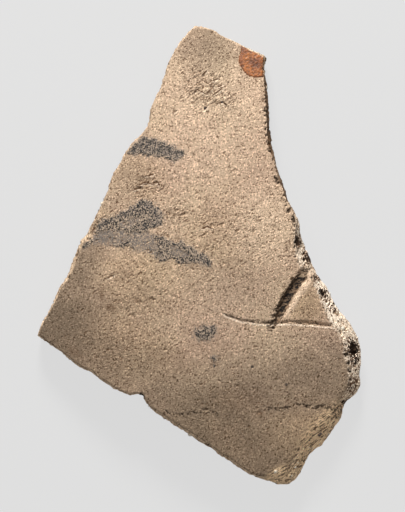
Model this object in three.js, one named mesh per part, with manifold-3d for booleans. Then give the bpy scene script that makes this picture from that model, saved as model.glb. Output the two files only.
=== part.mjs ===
// A pottery sherd: one broken piece of the wall of a large wheel-made jar, lying with its inside down.
//
// Sizes are in millimetres and +Z is up, out of the jar. X runs round the jar and Y along its axis. The
// outline, the marks and the grains are placed by pixel coordinates read by hand on a straight view of
// the outside, and the two overall sizes turn them into millimetres.
//
// The wall is a body of revolution in three layers: the smooth outer skin, the clay core and the smoothed
// inner skin. One lofted body, whose side is the broken edge, trims all three. Knives that follow the
// curved surface cut the incised mark, the wheel line and the chips.

import * as THREE from "three";
import { mergeVertices } from "three/addons/utils/BufferGeometryUtils.js";
import Module from "manifold-3d";

const wasm = await Module();
wasm.setup();

// The sherd and the jar it comes from
const sherdLength = 140; // along the jar's axis
const sherdWidth = 98.6; // round the jar
const wallThickness = 9;
const jarRadius = 165; // outside, at the belly
const bellyRadius = 420; // of the jar's side, seen in profile

// The layers of the wall
const outerSkinThickness = 1.2;
const innerSkinThickness = 1.5;
const ridgePitch = 9; // of the throwing ridges inside
const ridgeHeight = 0.35;

// The broken edge
const undercut = 1.5; // how far the break runs in under the wall at the inside
const roughnessHeight = 0.42;
const roughnessLength = 15; // the longest wave of the roughness along the edge
const wornDepth = 0.6; // worn off the three spots that it rests on

// The incised mark, the wheel line and what fills or covers the skin
const grooveWidth = 4.5; // the broad oblique stroke, from lip to lip
const grooveDepth = 2;
const soilDepth = 1.35; // from the outer surface down to the soil left in the groove
const lineWidth = 1.1; // the thin stroke across it
const lineDepthShare = 0.72; // of the outer skin
const wheelLineWidth = 0.95;
const wheelLineDepthShare = 0.7; // of the outer skin
const pigmentThickness = 0.15;
const daubThickness = 0.25;
const chipLength = 3;
const pitLength = 1.5;
const pitDepthShare = 0.7; // of the outer skin
const grainLength = 1.8; // of the coarsest grain

// How finely the forms are cut into facets
const facetsRoundJar = 120;
const profileStep = 12; // along the jar's side
const stepsOnARidge = 5;
const stepsOnAnEdgeStretch = 1;
const stepsOnAFilmStretch = 2;
const grainDetail = 1;
const chipSides = 9;
const chipRows = 6;
const pitSides = 7;
const pitRows = 4;
const overrun = 8; // of every cutting body past what it cuts

// The sherd's outermost columns and rows in the view that the pixel coordinates are read on
const outermostPixels = { left: 37.5, right: 361.8, top: 25, bottom: 486 };

// The broken outline, clockwise from the top: column, row and the width in pixels of the bevel that shows
// between the skin's edge and the outermost edge of the break.
const outlinePixels = [
  [195, 25, 1.5], [205, 27, 1.5], [212, 28.5, 1.5], [219, 33.5, 1.5], [232, 39.5, 1.5],
  [244, 45.5, 2], [252, 49.5, 2], [264, 54.5, 3], [267.5, 58, 4], [264.5, 65, 1.5],
  [265.5, 72, 2], [266.8, 80, 2.8], [267, 90, 2], [268, 100, 2.3], [269, 110, 2.5],
  [270, 130, 2.7], [271, 138, 3.5], [272.5, 147, 4.5], [275, 156, 3.5], [276, 163, 1.8],
  [278.5, 172, 2], [281, 178, 2.5], [283.5, 184, 2.5], [286, 193, 2], [287.5, 200, 1.5],
  [291.5, 206, 1.5], [294.5, 212, 2], [297.5, 218, 2], [299.5, 224, 3], [300.3, 232, 5.5],
  [302, 240, 7.5], [306.5, 250, 11.5], [310, 257, 13], [313, 266, 10], [318, 275, 8],
  [322, 281, 9.5], [327, 287, 11], [332, 298, 11.5], [336, 305, 13], [341, 312, 15],
  [346, 318, 15.5], [350, 323, 16.5], [354, 329, 17.5], [357.5, 336, 17], [360, 344, 15],
  [361.5, 352, 14], [361.5, 360, 12.5], [360.5, 370, 9.5], [360.5, 378, 9], [361.8, 386, 13],
  [360, 390, 13.5], [356, 395, 12], [351, 400, 10], [347, 403, 8.5], [344.5, 407, 8],
  [343, 414, 9], [340.5, 422, 12.5], [336, 428, 14], [332, 434, 17], [327.5, 441, 18],
  [322, 446, 18], [315, 450, 17], [311, 455, 17], [307, 461, 17], [304, 468, 18],
  [301, 475, 17], [297, 479.5, 15], [294, 482.5, 12], [290, 485.5, 9], [284, 486, 7],
  [277, 485.5, 4.5], [270, 482, 2], [260, 480, 1.5], [250, 475, 2], [240, 469, 2.5],
  [230, 462, 3], [220, 456, 3], [210, 448.5, 3], [200, 442, 3], [190, 435.5, 3],
  [180, 429.5, 3], [170, 422.5, 2.5], [162, 417, 2], [152, 410, 1.5], [148.5, 407, 1.5],
  [145, 402, 1.5], [142.5, 396, 1.5], [140, 394.5, 1.5], [136, 394.5, 1.5], [130, 396.5, 1.5],
  [121, 392.5, 1.5], [111, 387, 1.5], [100, 380, 1.5], [91, 372, 1.5], [84, 370, 1.5],
  [77, 366, 1.5], [69, 359, 1.5], [60, 352, 1.5], [49, 345, 1.5], [42, 340, 1.5],
  [37.5, 336, 1.5], [38.5, 331, 1.5], [43.5, 320, 1.5], [50, 308, 2], [55, 297, 2.5],
  [60, 285.5, 3], [66.5, 277, 3.5], [70.5, 267, 4], [75.5, 253, 4], [81, 240, 4.5],
  [85.5, 236, 4.5], [90.5, 226.5, 4], [95.5, 216, 3.5], [101.5, 204, 2], [107.5, 192, 1.5],
  [109, 185, 1.5], [113.5, 172.5, 1.5], [120.5, 162, 1.5], [126, 152, 1.5], [131.5, 143.5, 1.5],
  [139, 136.5, 1.5], [146, 128.5, 1.5], [148.5, 122, 1.5], [150.5, 110, 1.5], [154.5, 99, 1.5],
  [160, 88.5, 1.5], [161.5, 83, 1.5], [164, 76, 1.5], [168, 63, 1.5], [174, 51, 1.5],
  [181, 40, 1.5], [189, 31, 1.5],
];

// The break's section from the outside in: depth as a share of the wall, then the shares of the bevel, the
// undercut and the roughness that set the edge in at that depth.
const breakSectionShares = [
  [0, 1, 0, 0],
  [0.08, 0.82, 0, 0.5],
  [0.2, 0.5, 0, 0.8],
  [0.32, 0.2, 0, 0.6],
  [0.42, 0, 0, 0],
  [0.7, 0, 0.35, 1],
  [1, 0, 1, 1],
];

// Waves that add up to the break's roughness: length, height and turn with depth, as shares.
const roughnessWaveShares = [
  [1, 0.5, 3.1],
  [0.43, 0.3, 7.7],
  [0.21, 0.2, 17.3],
];

// The three places on the edge where the sherd touches what it lies on
const restPixels = [
  [37.5, 336],
  [361.8, 386],
  [205, 27],
];

// The incised strokes and the wheel line: column, row, then the shares of the width and of the depth there.
const grooveStations = [
  [316, 261, 0.9, 0.2],
  [309, 271, 0.95, 0.45],
  [303, 279, 1, 0.95],
  [297.5, 286, 0.97, 1],
  [292, 294, 0.97, 0.95],
  [287.5, 302, 0.92, 1],
  [283, 310, 0.78, 0.9],
  [279.5, 317, 0.55, 0.75],
  [276.5, 323, 0.36, 0.55],
  [273.5, 328.5, 0.12, 0.1],
];
const lineStations = [
  [225.5, 314.5, 0.2, 0.1],
  [228, 315.5, 0.6, 0.6],
  [233, 318, 0.7, 0.6],
  [241, 320.3, 0.7, 0.7],
  [251, 321.8, 0.75, 0.75],
  [262, 323, 0.75, 0.7],
  [275, 323.2, 0.8, 0.75],
  [290, 322.5, 1, 0.8],
  [301, 322.5, 1.1, 0.9],
  [312, 323.8, 1.3, 1],
  [321, 325, 1.2, 1],
  [327, 325.7, 1, 0.9],
  [341, 327, 0.9, 0.8],
];
const leftWheelLineStations = [
  [172, 412.5, 0.3, 0.2],
  [177, 415, 0.8, 0.9],
  [184, 413.7, 0.5, 0.4],
  [191, 413, 0.7, 0.7],
  [198, 411.5, 0.5, 0.4],
  [206, 410, 0.9, 0.9],
  [212, 411.5, 0.5, 0.5],
  [218, 414.5, 0.3, 0.2],
];
const rightWheelLineStations = [
  [264, 408, 0.3, 0.2],
  [270, 407.6, 0.8, 0.8],
  [276, 407.2, 0.5, 0.4],
  [282, 409.5, 1, 1],
  [288, 407, 0.5, 0.5],
  [294, 404.8, 0.6, 0.5],
  [300, 403.8, 0.6, 0.5],
  [306, 407, 1.1, 0.9],
  [312, 407, 0.9, 0.8],
  [317, 408.5, 1.1, 1],
  [323, 407.2, 0.7, 0.6],
  [329, 408.3, 1.2, 1],
  [336, 409.5, 1.1, 1],
  [352, 411, 1, 0.9],
];

// Sections of the strokes, from the lip on the right hand of someone who follows the stroke to the lip on
// the left: shares of the half width and of the depth. The broad stroke starts with its steep wall and
// ends with a long slope.
const grooveSectionShares = [
  [-1, 0],
  [-0.86, 0.6],
  [-0.5, 1],
  [0.1, 0.92],
  [0.45, 0.6],
  [1, 0],
];
const lineSectionShares = [
  [-1, 0],
  [-0.3, 1],
  [0.3, 0.9],
  [1, 0],
];

// Outlines of the painted patches
const upperStrokePixels = [
  [128, 136], [139, 137], [152, 139], [162, 141.8], [172, 145], [177, 149.3], [184, 151.5],
  [186.3, 155.5], [183, 160], [175, 161.7], [167, 161.3], [160, 157.8], [148, 156], [139, 157],
  [131, 156], [118, 155], [116, 145],
];
const middleStrokePixels = [
  [84, 224], [97, 222], [108, 218], [120, 214], [128, 208], [137, 204], [150, 200], [157, 207],
  [163, 213], [165, 220], [160, 227], [152, 229.5], [150, 232.5], [158, 235], [170, 240.5],
  [182, 243], [197, 250], [207, 256], [213.5, 262], [209, 268], [196, 264], [187, 267],
  [175, 260.5], [161, 264], [150, 256], [138, 252], [120, 248], [105, 247], [92, 246],
  [80, 250], [76, 238],
];
const lowerSpotPixels = [
  [192, 331.5], [197, 327.5], [205, 325.7], [212, 325.2], [217.3, 328], [215.5, 335],
  [211, 341], [204, 343], [196.5, 341.5], [192.5, 337.5],
];
const fleckPixels = [
  [213, 356], [216.5, 358], [216.8, 363], [215, 367], [212.3, 364], [211.8, 359],
];
const daubPixels = [
  [243, 40], [240.5, 52], [239, 57], [238.6, 62], [240.5, 67.5], [244.5, 73], [250, 76.8],
  [257, 78.3], [264, 77.3], [278, 72], [278, 50], [258, 42],
];

// Chips and voids broken out of the edge: place, depth of the middle as a share of the wall, shares of the
// chip's length along the row, along the column and into the wall, and the turn in degrees.
const chips = {
  bulgeVoid: { at: [354, 350], depthShare: 0.2, sizeShares: [1.03, 1.63, 1.13], turn: 15 },
  marginVoid: { at: [322.5, 293], depthShare: 0.14, sizeShares: [0.53, 0.77, 0.67], turn: 30 },
  upperMarginVoid: { at: [297.5, 243], depthShare: 0.1, sizeShares: [0.8, 1, 0.6], turn: 20 },
  cornerVoid: { at: [301, 273], depthShare: 0.06, sizeShares: [0.73, 1.13, 0.47], turn: -35 },
  notchVoid: { at: [142, 395.5], depthShare: 0.16, sizeShares: [0.73, 0.87, 1], turn: -30 },
  leftSpall: { at: [91.5, 231], depthShare: 0.02, sizeShares: [1.2, 2.5, 0.63], turn: -25 },
  topSpall: { at: [240, 42], depthShare: 0.02, sizeShares: [1.67, 0.53, 0.6], turn: -27 },
  lowerSpall: { at: [322, 441], depthShare: 0.12, sizeShares: [1.83, 0.8, 0.73], turn: 32 },
};

// Larger pits in the skin, where chaff burnt out or grains fell out: column, row, and shares of the longest
// pit's length along the row and along the column.
const skinPitShares = [
  [112, 277, 0.9, 0.7], [136, 300, 0.6, 0.5], [111, 306, 0.5, 0.7], [237, 386, 0.6, 0.7],
  [264.5, 369, 0.6, 0.5], [293, 339, 0.6, 0.9], [174, 112, 0.7, 0.5], [259, 413, 1, 0.7],
  [197, 93, 0.8, 0.6], [211, 82, 0.7, 0.8], [148, 187, 0.9, 0.5], [228, 231, 0.6, 0.6],
  [249, 205, 0.5, 0.7], [304, 312, 0.4, 0.9], [166, 350, 0.7, 0.6], [310, 372, 0.6, 0.6],
];

// Coarse temper grains: place, how deep in the broken edge as a share of the wall (on the skin where that
// is zero), share of the coarsest grain's length and turn in degrees.
const limeGrains = [
  { at: [275.5, 471.5], depthShare: 0, lengthShare: 0.78, turn: 30 },
  { at: [350, 323], depthShare: 0.2, lengthShare: 0.94, turn: 70 },
  { at: [190, 434], depthShare: 0.42, lengthShare: 1, turn: 10 },
  { at: [101.5, 204], depthShare: 0.42, lengthShare: 0.89, turn: 120 },
];
const gritGrains = [
  { at: [252, 367], depthShare: 0, lengthShare: 0.67, turn: 0 },
  { at: [286, 385], depthShare: 0, lengthShare: 0.6, turn: 50 },
  { at: [222, 103], depthShare: 0, lengthShare: 0.55, turn: 20 },
  { at: [205, 109], depthShare: 0, lengthShare: 0.6, turn: 80 },
  { at: [327.5, 441], depthShare: 0.2, lengthShare: 0.89, turn: 40 },
  { at: [60, 351.5], depthShare: 0.7, lengthShare: 0.94, turn: 15 },
];
const grainSizeShares = [1, 0.78, 0.66]; // length, width and height of a grain
const grainSeatShare = 0.22; // how far under the surface a grain's middle lies
const grainCornerShare = 0.16; // how far a grain's corners stand out of its round form
const grainWaves = [5, 3, 4]; // radians over a grain's half length, half width and half height

// Colours, roughness and metalness
const materials = {
  outerSkin: new THREE.MeshStandardMaterial({ color: 0xc2a689, roughness: 0.85, metalness: 0 }),
  clayCore: new THREE.MeshStandardMaterial({ color: 0xd6bd9f, roughness: 0.95, metalness: 0 }),
  innerSkin: new THREE.MeshStandardMaterial({ color: 0xb0967b, roughness: 0.9, metalness: 0 }),
  darkPigment: new THREE.MeshStandardMaterial({ color: 0x6b5f57, roughness: 0.8, metalness: 0 }),
  redPaint: new THREE.MeshStandardMaterial({ color: 0xab6a45, roughness: 0.6, metalness: 0 }),
  soil: new THREE.MeshStandardMaterial({ color: 0x574636, roughness: 1, metalness: 0 }),
  lime: new THREE.MeshStandardMaterial({ color: 0xf1e9da, roughness: 0.9, metalness: 0 }),
  grit: new THREE.MeshStandardMaterial({ color: 0x3b322c, roughness: 0.7, metalness: 0 }),
};

// From pixels to millimetres, with the middle of the outline's box at zero
const acrossPixel = sherdWidth / (outermostPixels.right - outermostPixels.left);
const upPixel = sherdLength / (outermostPixels.bottom - outermostPixels.top);

function placeOf([column, row]) {
  const { left, right, top, bottom } = outermostPixels;
  const x = (column - (left + right) / 2) * acrossPixel;
  const y = ((top + bottom) / 2 - row) * upPixel;
  return new THREE.Vector2(x, y);
}

// Between three.js geometry and solids that can be cut
function toSolid(geometry) {
  const plain = geometry.clone();
  plain.deleteAttribute("normal");
  plain.deleteAttribute("uv");
  const merged = mergeVertices(plain);
  const vertProperties = merged.getAttribute("position").array;
  const triVerts = new Uint32Array(merged.index.array);
  return new wasm.Manifold(new wasm.Mesh({ numProp: 3, vertProperties, triVerts }));
}

function toGeometry(solid) {
  const mesh = solid.getMesh();
  const geometry = new THREE.BufferGeometry();
  geometry.setAttribute("position", new THREE.BufferAttribute(mesh.vertProperties, 3));
  geometry.setIndex(new THREE.BufferAttribute(mesh.triVerts, 1));
  geometry.computeVertexNormals();
  return geometry;
}

// The main body that a cut leaves: loose flakes fall away.
function mainBody(solid) {
  const bodies = solid.decompose();
  return bodies.reduce((largest, body) => (body.volume() > largest.volume() ? body : largest));
}

// A solid through rings of points, each ring with as many points as the next, with a fan over each end.
// The rings run clockwise seen from the first one.
function loft(rings) {
  const count = rings[0].length;
  const points = rings.flat();
  const index = [];
  for (let ring = 0; ring + 1 < rings.length; ring++) {
    for (let i = 0; i < count; i++) {
      const next = (i + 1) % count;
      const [a, b] = [ring * count + i, ring * count + next];
      const [c, d] = [a + count, b + count];
      index.push(a, b, c, b, d, c);
    }
  }
  for (const [ring, turned] of [[0, false], [rings.length - 1, true]]) {
    const middle = new THREE.Vector3();
    rings[ring].forEach((point) => middle.addScaledVector(point, 1 / count));
    points.push(middle);
    for (let i = 0; i < count; i++) {
      const [a, b] = [ring * count + i, ring * count + ((i + 1) % count)];
      index.push(points.length - 1, turned ? a : b, turned ? b : a);
    }
  }
  const geometry = new THREE.BufferGeometry().setFromPoints(points);
  geometry.setIndex(index);
  return toSolid(geometry);
}

// The jar's wall. Its axis runs along Y, one radius below the crown of the sherd.
function outerRadiusAt(y) {
  return jarRadius - (bellyRadius - Math.sqrt(bellyRadius ** 2 - y ** 2));
}

function surfaceHeight(x, y) {
  return Math.sqrt(outerRadiusAt(y) ** 2 - x ** 2) - jarRadius;
}

function pointAt(place, depth) {
  return new THREE.Vector3(place.x, place.y, surfaceHeight(place.x, place.y) - depth);
}

// The profile of a surface that lies a given depth under the outside, from below the sherd to above it
function profile(depthAt, step) {
  const reach = sherdLength / 2 + overrun;
  const steps = Math.ceil((2 * reach) / step);
  return Array.from({ length: steps + 1 }, (_, i) => {
    const y = -reach + (2 * reach * i) / steps;
    return new THREE.Vector2(outerRadiusAt(y) - depthAt(y), y);
  });
}

function wallLayer(outside, inside) {
  const loop = [...outside, ...inside.toReversed(), outside[0]];
  return toSolid(new THREE.LatheGeometry(loop, facetsRoundJar)).translate([0, 0, -jarRadius]);
}

// The broken edge: the outline is set in at each depth, and small waves make it rough.
function roughnessAt(distance, depthShare) {
  const waves = roughnessWaveShares.map(([length, height, turn]) => {
    const phase = (2 * Math.PI * distance) / (roughnessLength * length) + turn * depthShare;
    return height * Math.sin(phase);
  });
  return roughnessHeight * waves.reduce((sum, wave) => sum + wave);
}

function edgeStations() {
  const corners = outlinePixels.map((corner) => {
    const place = placeOf(corner);
    return new THREE.Vector3(place.x, place.y, corner[2] * acrossPixel);
  });
  const curve = new THREE.CatmullRomCurve3(corners, true, "centripetal");
  const points = curve.getPoints(corners.length * stepsOnAnEdgeStretch).slice(0, -1);
  let distance = 0;
  return points.map((point, i) => {
    const before = points.at(i - 1);
    const after = points[(i + 1) % points.length];
    const along = new THREE.Vector2(after.x - before.x, after.y - before.y).normalize();
    const station = {
      place: new THREE.Vector2(point.x, point.y),
      inward: new THREE.Vector2(along.y, -along.x),
      bevel: point.z,
      distance,
    };
    distance += Math.hypot(after.x - point.x, after.y - point.y);
    return station;
  });
}

const stations = edgeStations();

function edgePoint(station, [depthShare, bevelShare, undercutShare, roughnessShare], lift = 0) {
  const rough = roughnessShare * roughnessAt(station.distance, depthShare);
  const inset = bevelShare * station.bevel + undercutShare * undercut + rough;
  const place = station.place.clone().addScaledVector(station.inward, inset);
  return pointAt(place, depthShare * wallThickness - lift);
}

function breakBody() {
  const first = breakSectionShares[0];
  const last = breakSectionShares.at(-1);
  return loft([
    stations.map((station) => edgePoint(station, first, overrun)),
    ...breakSectionShares.map((shares) => stations.map((station) => edgePoint(station, shares))),
    stations.map((station) => edgePoint(station, last, -overrun)),
  ]);
}

// Knives that follow the outer surface
function groove(path, section, width, depth) {
  const places = path.map(placeOf);
  return loft(
    path.map(([, , widthShare, depthShare], i) => {
      const before = places[Math.max(i - 1, 0)];
      const after = places[Math.min(i + 1, places.length - 1)];
      const along = after.clone().sub(before).normalize();
      const across = new THREE.Vector2(-along.y, along.x);
      const half = (width / 2) * widthShare;
      const beside = (side) => places[i].clone().addScaledVector(across, side * half);
      const ring = section.map(([side, down]) => pointAt(beside(side), down * depth * depthShare));
      return [...ring, pointAt(beside(1), -overrun), pointAt(beside(-1), -overrun)];
    }),
  );
}

function chip({ at, depthShare, sizeShares, turn }) {
  const geometry = new THREE.SphereGeometry(chipLength / 2, chipSides, chipRows);
  geometry.scale(...sizeShares);
  geometry.rotateZ(THREE.MathUtils.degToRad(turn));
  return toSolid(geometry).translate(pointAt(placeOf(at), depthShare * wallThickness).toArray());
}

function skinPit([column, row, acrossShare, upShare]) {
  const geometry = new THREE.SphereGeometry(1, pitSides, pitRows);
  geometry.rotateX(Math.PI / 2);
  const depth = pitDepthShare * outerSkinThickness;
  geometry.scale((acrossShare * pitLength) / 2, (upShare * pitLength) / 2, depth);
  return toSolid(geometry).translate(pointAt(placeOf([column, row]), 0).toArray());
}

// A film that lies on the outer surface inside a drawn outline
function film(outlineOnSkin, thickness) {
  const corners = outlineOnSkin.map(placeOf).map(({ x, y }) => new THREE.Vector3(x, y, 0));
  const curve = new THREE.CatmullRomCurve3(corners, true, "centripetal");
  const outline = curve.getPoints(stepsOnAFilmStretch * corners.length).slice(0, -1);
  const shape = new THREE.Shape(outline.map(({ x, y }) => new THREE.Vector2(x, y)));
  const prism = new THREE.ExtrudeGeometry(shape, { depth: jarRadius, bevelEnabled: false });
  const layer = wallLayer(profile(() => -thickness, profileStep), outerFace);
  return mainBody(layer.intersect(toSolid(prism.translate(0, 0, -jarRadius / 2))).intersect(edge));
}

// Temper grains: blunt, slightly cornered pebbles, seated in the skin or in the broken edge
function nearestStation(place) {
  const distance = (station) => station.place.distanceTo(place);
  return stations.reduce((best, station) => (distance(station) < distance(best) ? station : best));
}

function grain({ at, depthShare, lengthShare, turn }) {
  const length = lengthShare * grainLength;
  const geometry = new THREE.IcosahedronGeometry(1, grainDetail);
  const position = geometry.getAttribute("position");
  const point = new THREE.Vector3();
  const [alongWave, acrossWave, upWave] = grainWaves;
  for (let i = 0; i < position.count; i++) {
    point.fromBufferAttribute(position, i);
    const wave = Math.sin(alongWave * point.x + acrossWave * point.y) * Math.cos(upWave * point.z);
    position.setXYZ(i, ...point.multiplyScalar(1 + grainCornerShare * wave));
  }
  geometry.scale(...grainSizeShares.map((share) => (share * length) / 2));
  geometry.rotateZ(THREE.MathUtils.degToRad(turn));
  return toSolid(geometry).translate(grainMiddle(placeOf(at), depthShare, length).toArray());
}

function grainMiddle(place, depthShare, length) {
  if (depthShare === 0) return pointAt(place, grainSeatShare * length);
  const station = nearestStation(place);
  const shares = breakSectionShares.find(([depth]) => depth >= depthShare);
  const middle = edgePoint(station, shares);
  const { inward } = station;
  return middle.add(new THREE.Vector3(inward.x, inward.y, 0).multiplyScalar(grainSeatShare * length));
}

// The wall's layers meet on shared faces
const outerFace = profile(() => 0, profileStep);
const skinBack = profile(() => outerSkinThickness, profileStep);
const coreBack = profile(() => wallThickness - innerSkinThickness, profileStep);
const innerFace = profile(
  (y) => wallThickness - (ridgeHeight / 2) * (1 + Math.cos((2 * Math.PI * y) / ridgePitch)),
  ridgePitch / stepsOnARidge,
);
const edge = breakBody();

const broadGroove = groove(grooveStations, grooveSectionShares, grooveWidth, grooveDepth);
const lineDepth = lineDepthShare * outerSkinThickness;
const wheelLineDepth = wheelLineDepthShare * outerSkinThickness;
const cuts = [
  broadGroove,
  groove(lineStations, lineSectionShares, lineWidth, lineDepth),
  groove(leftWheelLineStations, lineSectionShares, wheelLineWidth, wheelLineDepth),
  groove(rightWheelLineStations, lineSectionShares, wheelLineWidth, wheelLineDepth),
  ...Object.values(chips).map(chip),
  ...skinPitShares.map(skinPit),
];

const pieces = [];
function addPiece(name, solid, material) {
  pieces.push({ name, solid, material });
}

limeGrains.forEach((each, i) => addPiece(`lime_grain_${i + 1}`, grain(each), materials.lime));
gritGrains.forEach((each, i) => addPiece(`grit_grain_${i + 1}`, grain(each), materials.grit));
const grains = pieces.map((piece) => piece.solid);

function trimmed(layer) {
  const knives = [...cuts, ...grains];
  return mainBody(knives.reduce((rest, knife) => rest.subtract(knife), layer.intersect(edge)));
}

addPiece("outer_skin", trimmed(wallLayer(outerFace, skinBack)), materials.outerSkin);
addPiece("clay_core", trimmed(wallLayer(skinBack, coreBack)), materials.clayCore);
addPiece("inner_skin", trimmed(wallLayer(coreBack, innerFace)), materials.innerSkin);

const soilTop = profile(() => soilDepth, profileStep);
const soil = broadGroove.intersect(wallLayer(soilTop, coreBack)).intersect(edge);
addPiece("groove_soil", mainBody(soil), materials.soil);

addPiece("dark_stroke_upper", film(upperStrokePixels, pigmentThickness), materials.darkPigment);
addPiece("dark_stroke_middle", film(middleStrokePixels, pigmentThickness), materials.darkPigment);
addPiece("dark_spot_lower", film(lowerSpotPixels, pigmentThickness), materials.darkPigment);
addPiece("dark_fleck", film(fleckPixels, pigmentThickness), materials.darkPigment);
addPiece("red_daub", film(daubPixels, daubThickness), materials.redPaint);

// Laid down on the three lowest spots of the broken edge, each worn a little flat
const [left, right, top] = restPixels.map((pixel) =>
  edgePoint(nearestStation(placeOf(pixel)), breakSectionShares.at(-1)),
);
const up = new THREE.Vector3().crossVectors(right.clone().sub(left), top.clone().sub(left)).normalize();
const layDown = new THREE.Matrix4().makeRotationFromQuaternion(
  new THREE.Quaternion().setFromUnitVectors(up, new THREE.Vector3(0, 0, 1)),
);
const restHeight = left.clone().applyMatrix4(layDown).z + wornDepth;
const bench = new THREE.BoxGeometry(2 * sherdLength, 2 * sherdLength, overrun);
bench.translate(0, 0, restHeight - overrun / 2);
const benchBody = toSolid(bench);

const laid = pieces.map(({ name, solid, material }) => {
  const turned = solid.transform(layDown.elements).subtract(benchBody);
  return { name, solid: turned, material };
});

// The origin is under the middle of the sherd's box, at the height that it rests on.
const box = new THREE.Box3();
laid.forEach(({ solid }) => {
  const { min, max } = solid.boundingBox();
  box.expandByPoint(new THREE.Vector3(...min)).expandByPoint(new THREE.Vector3(...max));
});
const middle = box.getCenter(new THREE.Vector3());

const sherd = new THREE.Group();
sherd.name = "pottery_sherd";
sherd.position.set(-middle.x, -middle.y, -box.min.z);
laid.forEach(({ name, solid, material }) => {
  const mesh = new THREE.Mesh(toGeometry(solid), material);
  mesh.name = name;
  sherd.add(mesh);
});

export default sherd;
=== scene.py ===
import math

import bmesh
import bpy
import numpy as np
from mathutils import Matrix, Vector
from mathutils.kdtree import KDTree

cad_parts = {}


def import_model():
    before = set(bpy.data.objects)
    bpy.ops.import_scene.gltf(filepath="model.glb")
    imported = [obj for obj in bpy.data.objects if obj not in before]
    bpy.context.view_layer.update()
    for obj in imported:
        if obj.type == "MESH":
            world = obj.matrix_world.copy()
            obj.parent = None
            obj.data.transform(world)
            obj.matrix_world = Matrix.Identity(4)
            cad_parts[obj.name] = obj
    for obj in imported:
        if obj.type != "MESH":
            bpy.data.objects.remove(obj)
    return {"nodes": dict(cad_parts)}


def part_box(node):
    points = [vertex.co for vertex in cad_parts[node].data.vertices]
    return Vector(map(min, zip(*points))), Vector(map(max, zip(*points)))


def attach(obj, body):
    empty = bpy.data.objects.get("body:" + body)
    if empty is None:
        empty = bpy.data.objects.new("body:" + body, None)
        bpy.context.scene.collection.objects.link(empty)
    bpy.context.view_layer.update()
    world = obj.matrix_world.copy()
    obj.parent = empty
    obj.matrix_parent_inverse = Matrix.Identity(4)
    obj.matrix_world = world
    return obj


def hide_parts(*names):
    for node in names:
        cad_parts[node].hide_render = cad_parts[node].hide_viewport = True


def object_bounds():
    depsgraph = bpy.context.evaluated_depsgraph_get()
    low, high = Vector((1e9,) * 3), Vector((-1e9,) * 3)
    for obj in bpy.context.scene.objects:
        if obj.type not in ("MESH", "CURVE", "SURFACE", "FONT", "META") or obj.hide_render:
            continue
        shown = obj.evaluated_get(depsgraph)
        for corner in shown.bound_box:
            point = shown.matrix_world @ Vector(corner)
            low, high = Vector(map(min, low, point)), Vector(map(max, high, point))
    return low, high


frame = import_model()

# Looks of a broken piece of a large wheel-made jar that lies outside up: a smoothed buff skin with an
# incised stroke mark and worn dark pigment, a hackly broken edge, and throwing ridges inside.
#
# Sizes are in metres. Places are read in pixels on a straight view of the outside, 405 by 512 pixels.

cad_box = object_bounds()

MM = 0.001

# The view's size and the sherd's edges on it, in pixels
VIEW_COLUMNS, VIEW_ROWS = 405, 512
LEFT, RIGHT, TOP, BOTTOM = 37.5, 361.8, 25, 486
COLUMN = 98.6 * MM / (RIGHT - LEFT)
ROW = 140 * MM / (BOTTOM - TOP)
MIDDLE_COLUMN = (RIGHT + LEFT) / 2
MIDDLE_ROW = (BOTTOM + TOP) / 2

WALL = 9 * MM
SKIN = 1.2 * MM
INNER_SKIN = 1.5 * MM
RIDGE_PITCH = 9 * MM
SCRATCH_DEPTH = 0.12 * MM
PIGMENT_FILM = 0.03 * MM
PAINT_FILM = 0.1 * MM
FILM_ROOT = 0.03 * MM  # how deep a film reaches into the skin
GRID = 0.327 * MM  # of the wall's mesh
FACETS = 0.12 * MM  # the most that flat facets lie off a curved surface
FIT_ACROSS, FIT_ALONG = 0.05, 0.07  # bring the terms of a fitted height near 1


# Places on the view


def place(column, row):
    """A pixel of the view as a place in metres."""
    return (column - MIDDLE_COLUMN) * COLUMN, (MIDDLE_ROW - row) * ROW


def soft_spots(points, spots):
    """The strongest of some soft ovals at each point.

    An oval is a column, row, half width, half height, turn in degrees and strength."""
    total = np.zeros(len(points))
    for column, row, across, up, turn, strength in spots:
        x, y = place(column, row)
        angle = math.radians(turn)
        dx, dy = points[:, 0] - x, points[:, 1] - y
        u = (dx * math.cos(angle) + dy * math.sin(angle)) / (across * COLUMN)
        v = (dy * math.cos(angle) - dx * math.sin(angle)) / (up * ROW)
        total = np.maximum(total, strength * np.exp(-((u * u + v * v) ** 1.5)))
    return total


def offset_from_path(points, path):
    """How far each point lies from a line through pixels of the view, seen from above.

    It is below zero on the right hand of someone who follows the line."""
    nearest = np.full(len(points), np.inf)
    corners = [np.array(place(*pixel)) for pixel in path]
    for start, end in zip(corners, corners[1:]):
        along = end - start
        away = points[:, :2] - start
        share = np.clip((away @ along) / (along @ along), 0, 1)
        gap = np.linalg.norm(away - share[:, None] * along, axis=1)
        side = np.where(along[0] * away[:, 1] - along[1] * away[:, 0] < 0, -1, 1)
        nearest = np.where(gap < np.abs(nearest), side * gap, nearest)
    return nearest


def nearest_offset(points, paths):
    """How far each point lies from the nearest of some lines, as in offset_from_path."""
    nearest = np.full(len(points), np.inf)
    for path in paths:
        offset = offset_from_path(points, path)
        nearest = np.where(np.abs(offset) < np.abs(nearest), offset, nearest)
    return nearest


def along_lines(points, paths, half_width, fade):
    """1 on lines through pixels of the view, falling to 0 over the fade beyond their half width."""
    return 1 - smooth_step(np.abs(nearest_offset(points, paths)), half_width, half_width + fade)


def smooth_step(value, low, high):
    """0 up to low, 1 from high and a soft step between."""
    share = np.clip((value - low) / (high - low), 0, 1)
    return share * share * (3 - 2 * share)


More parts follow.
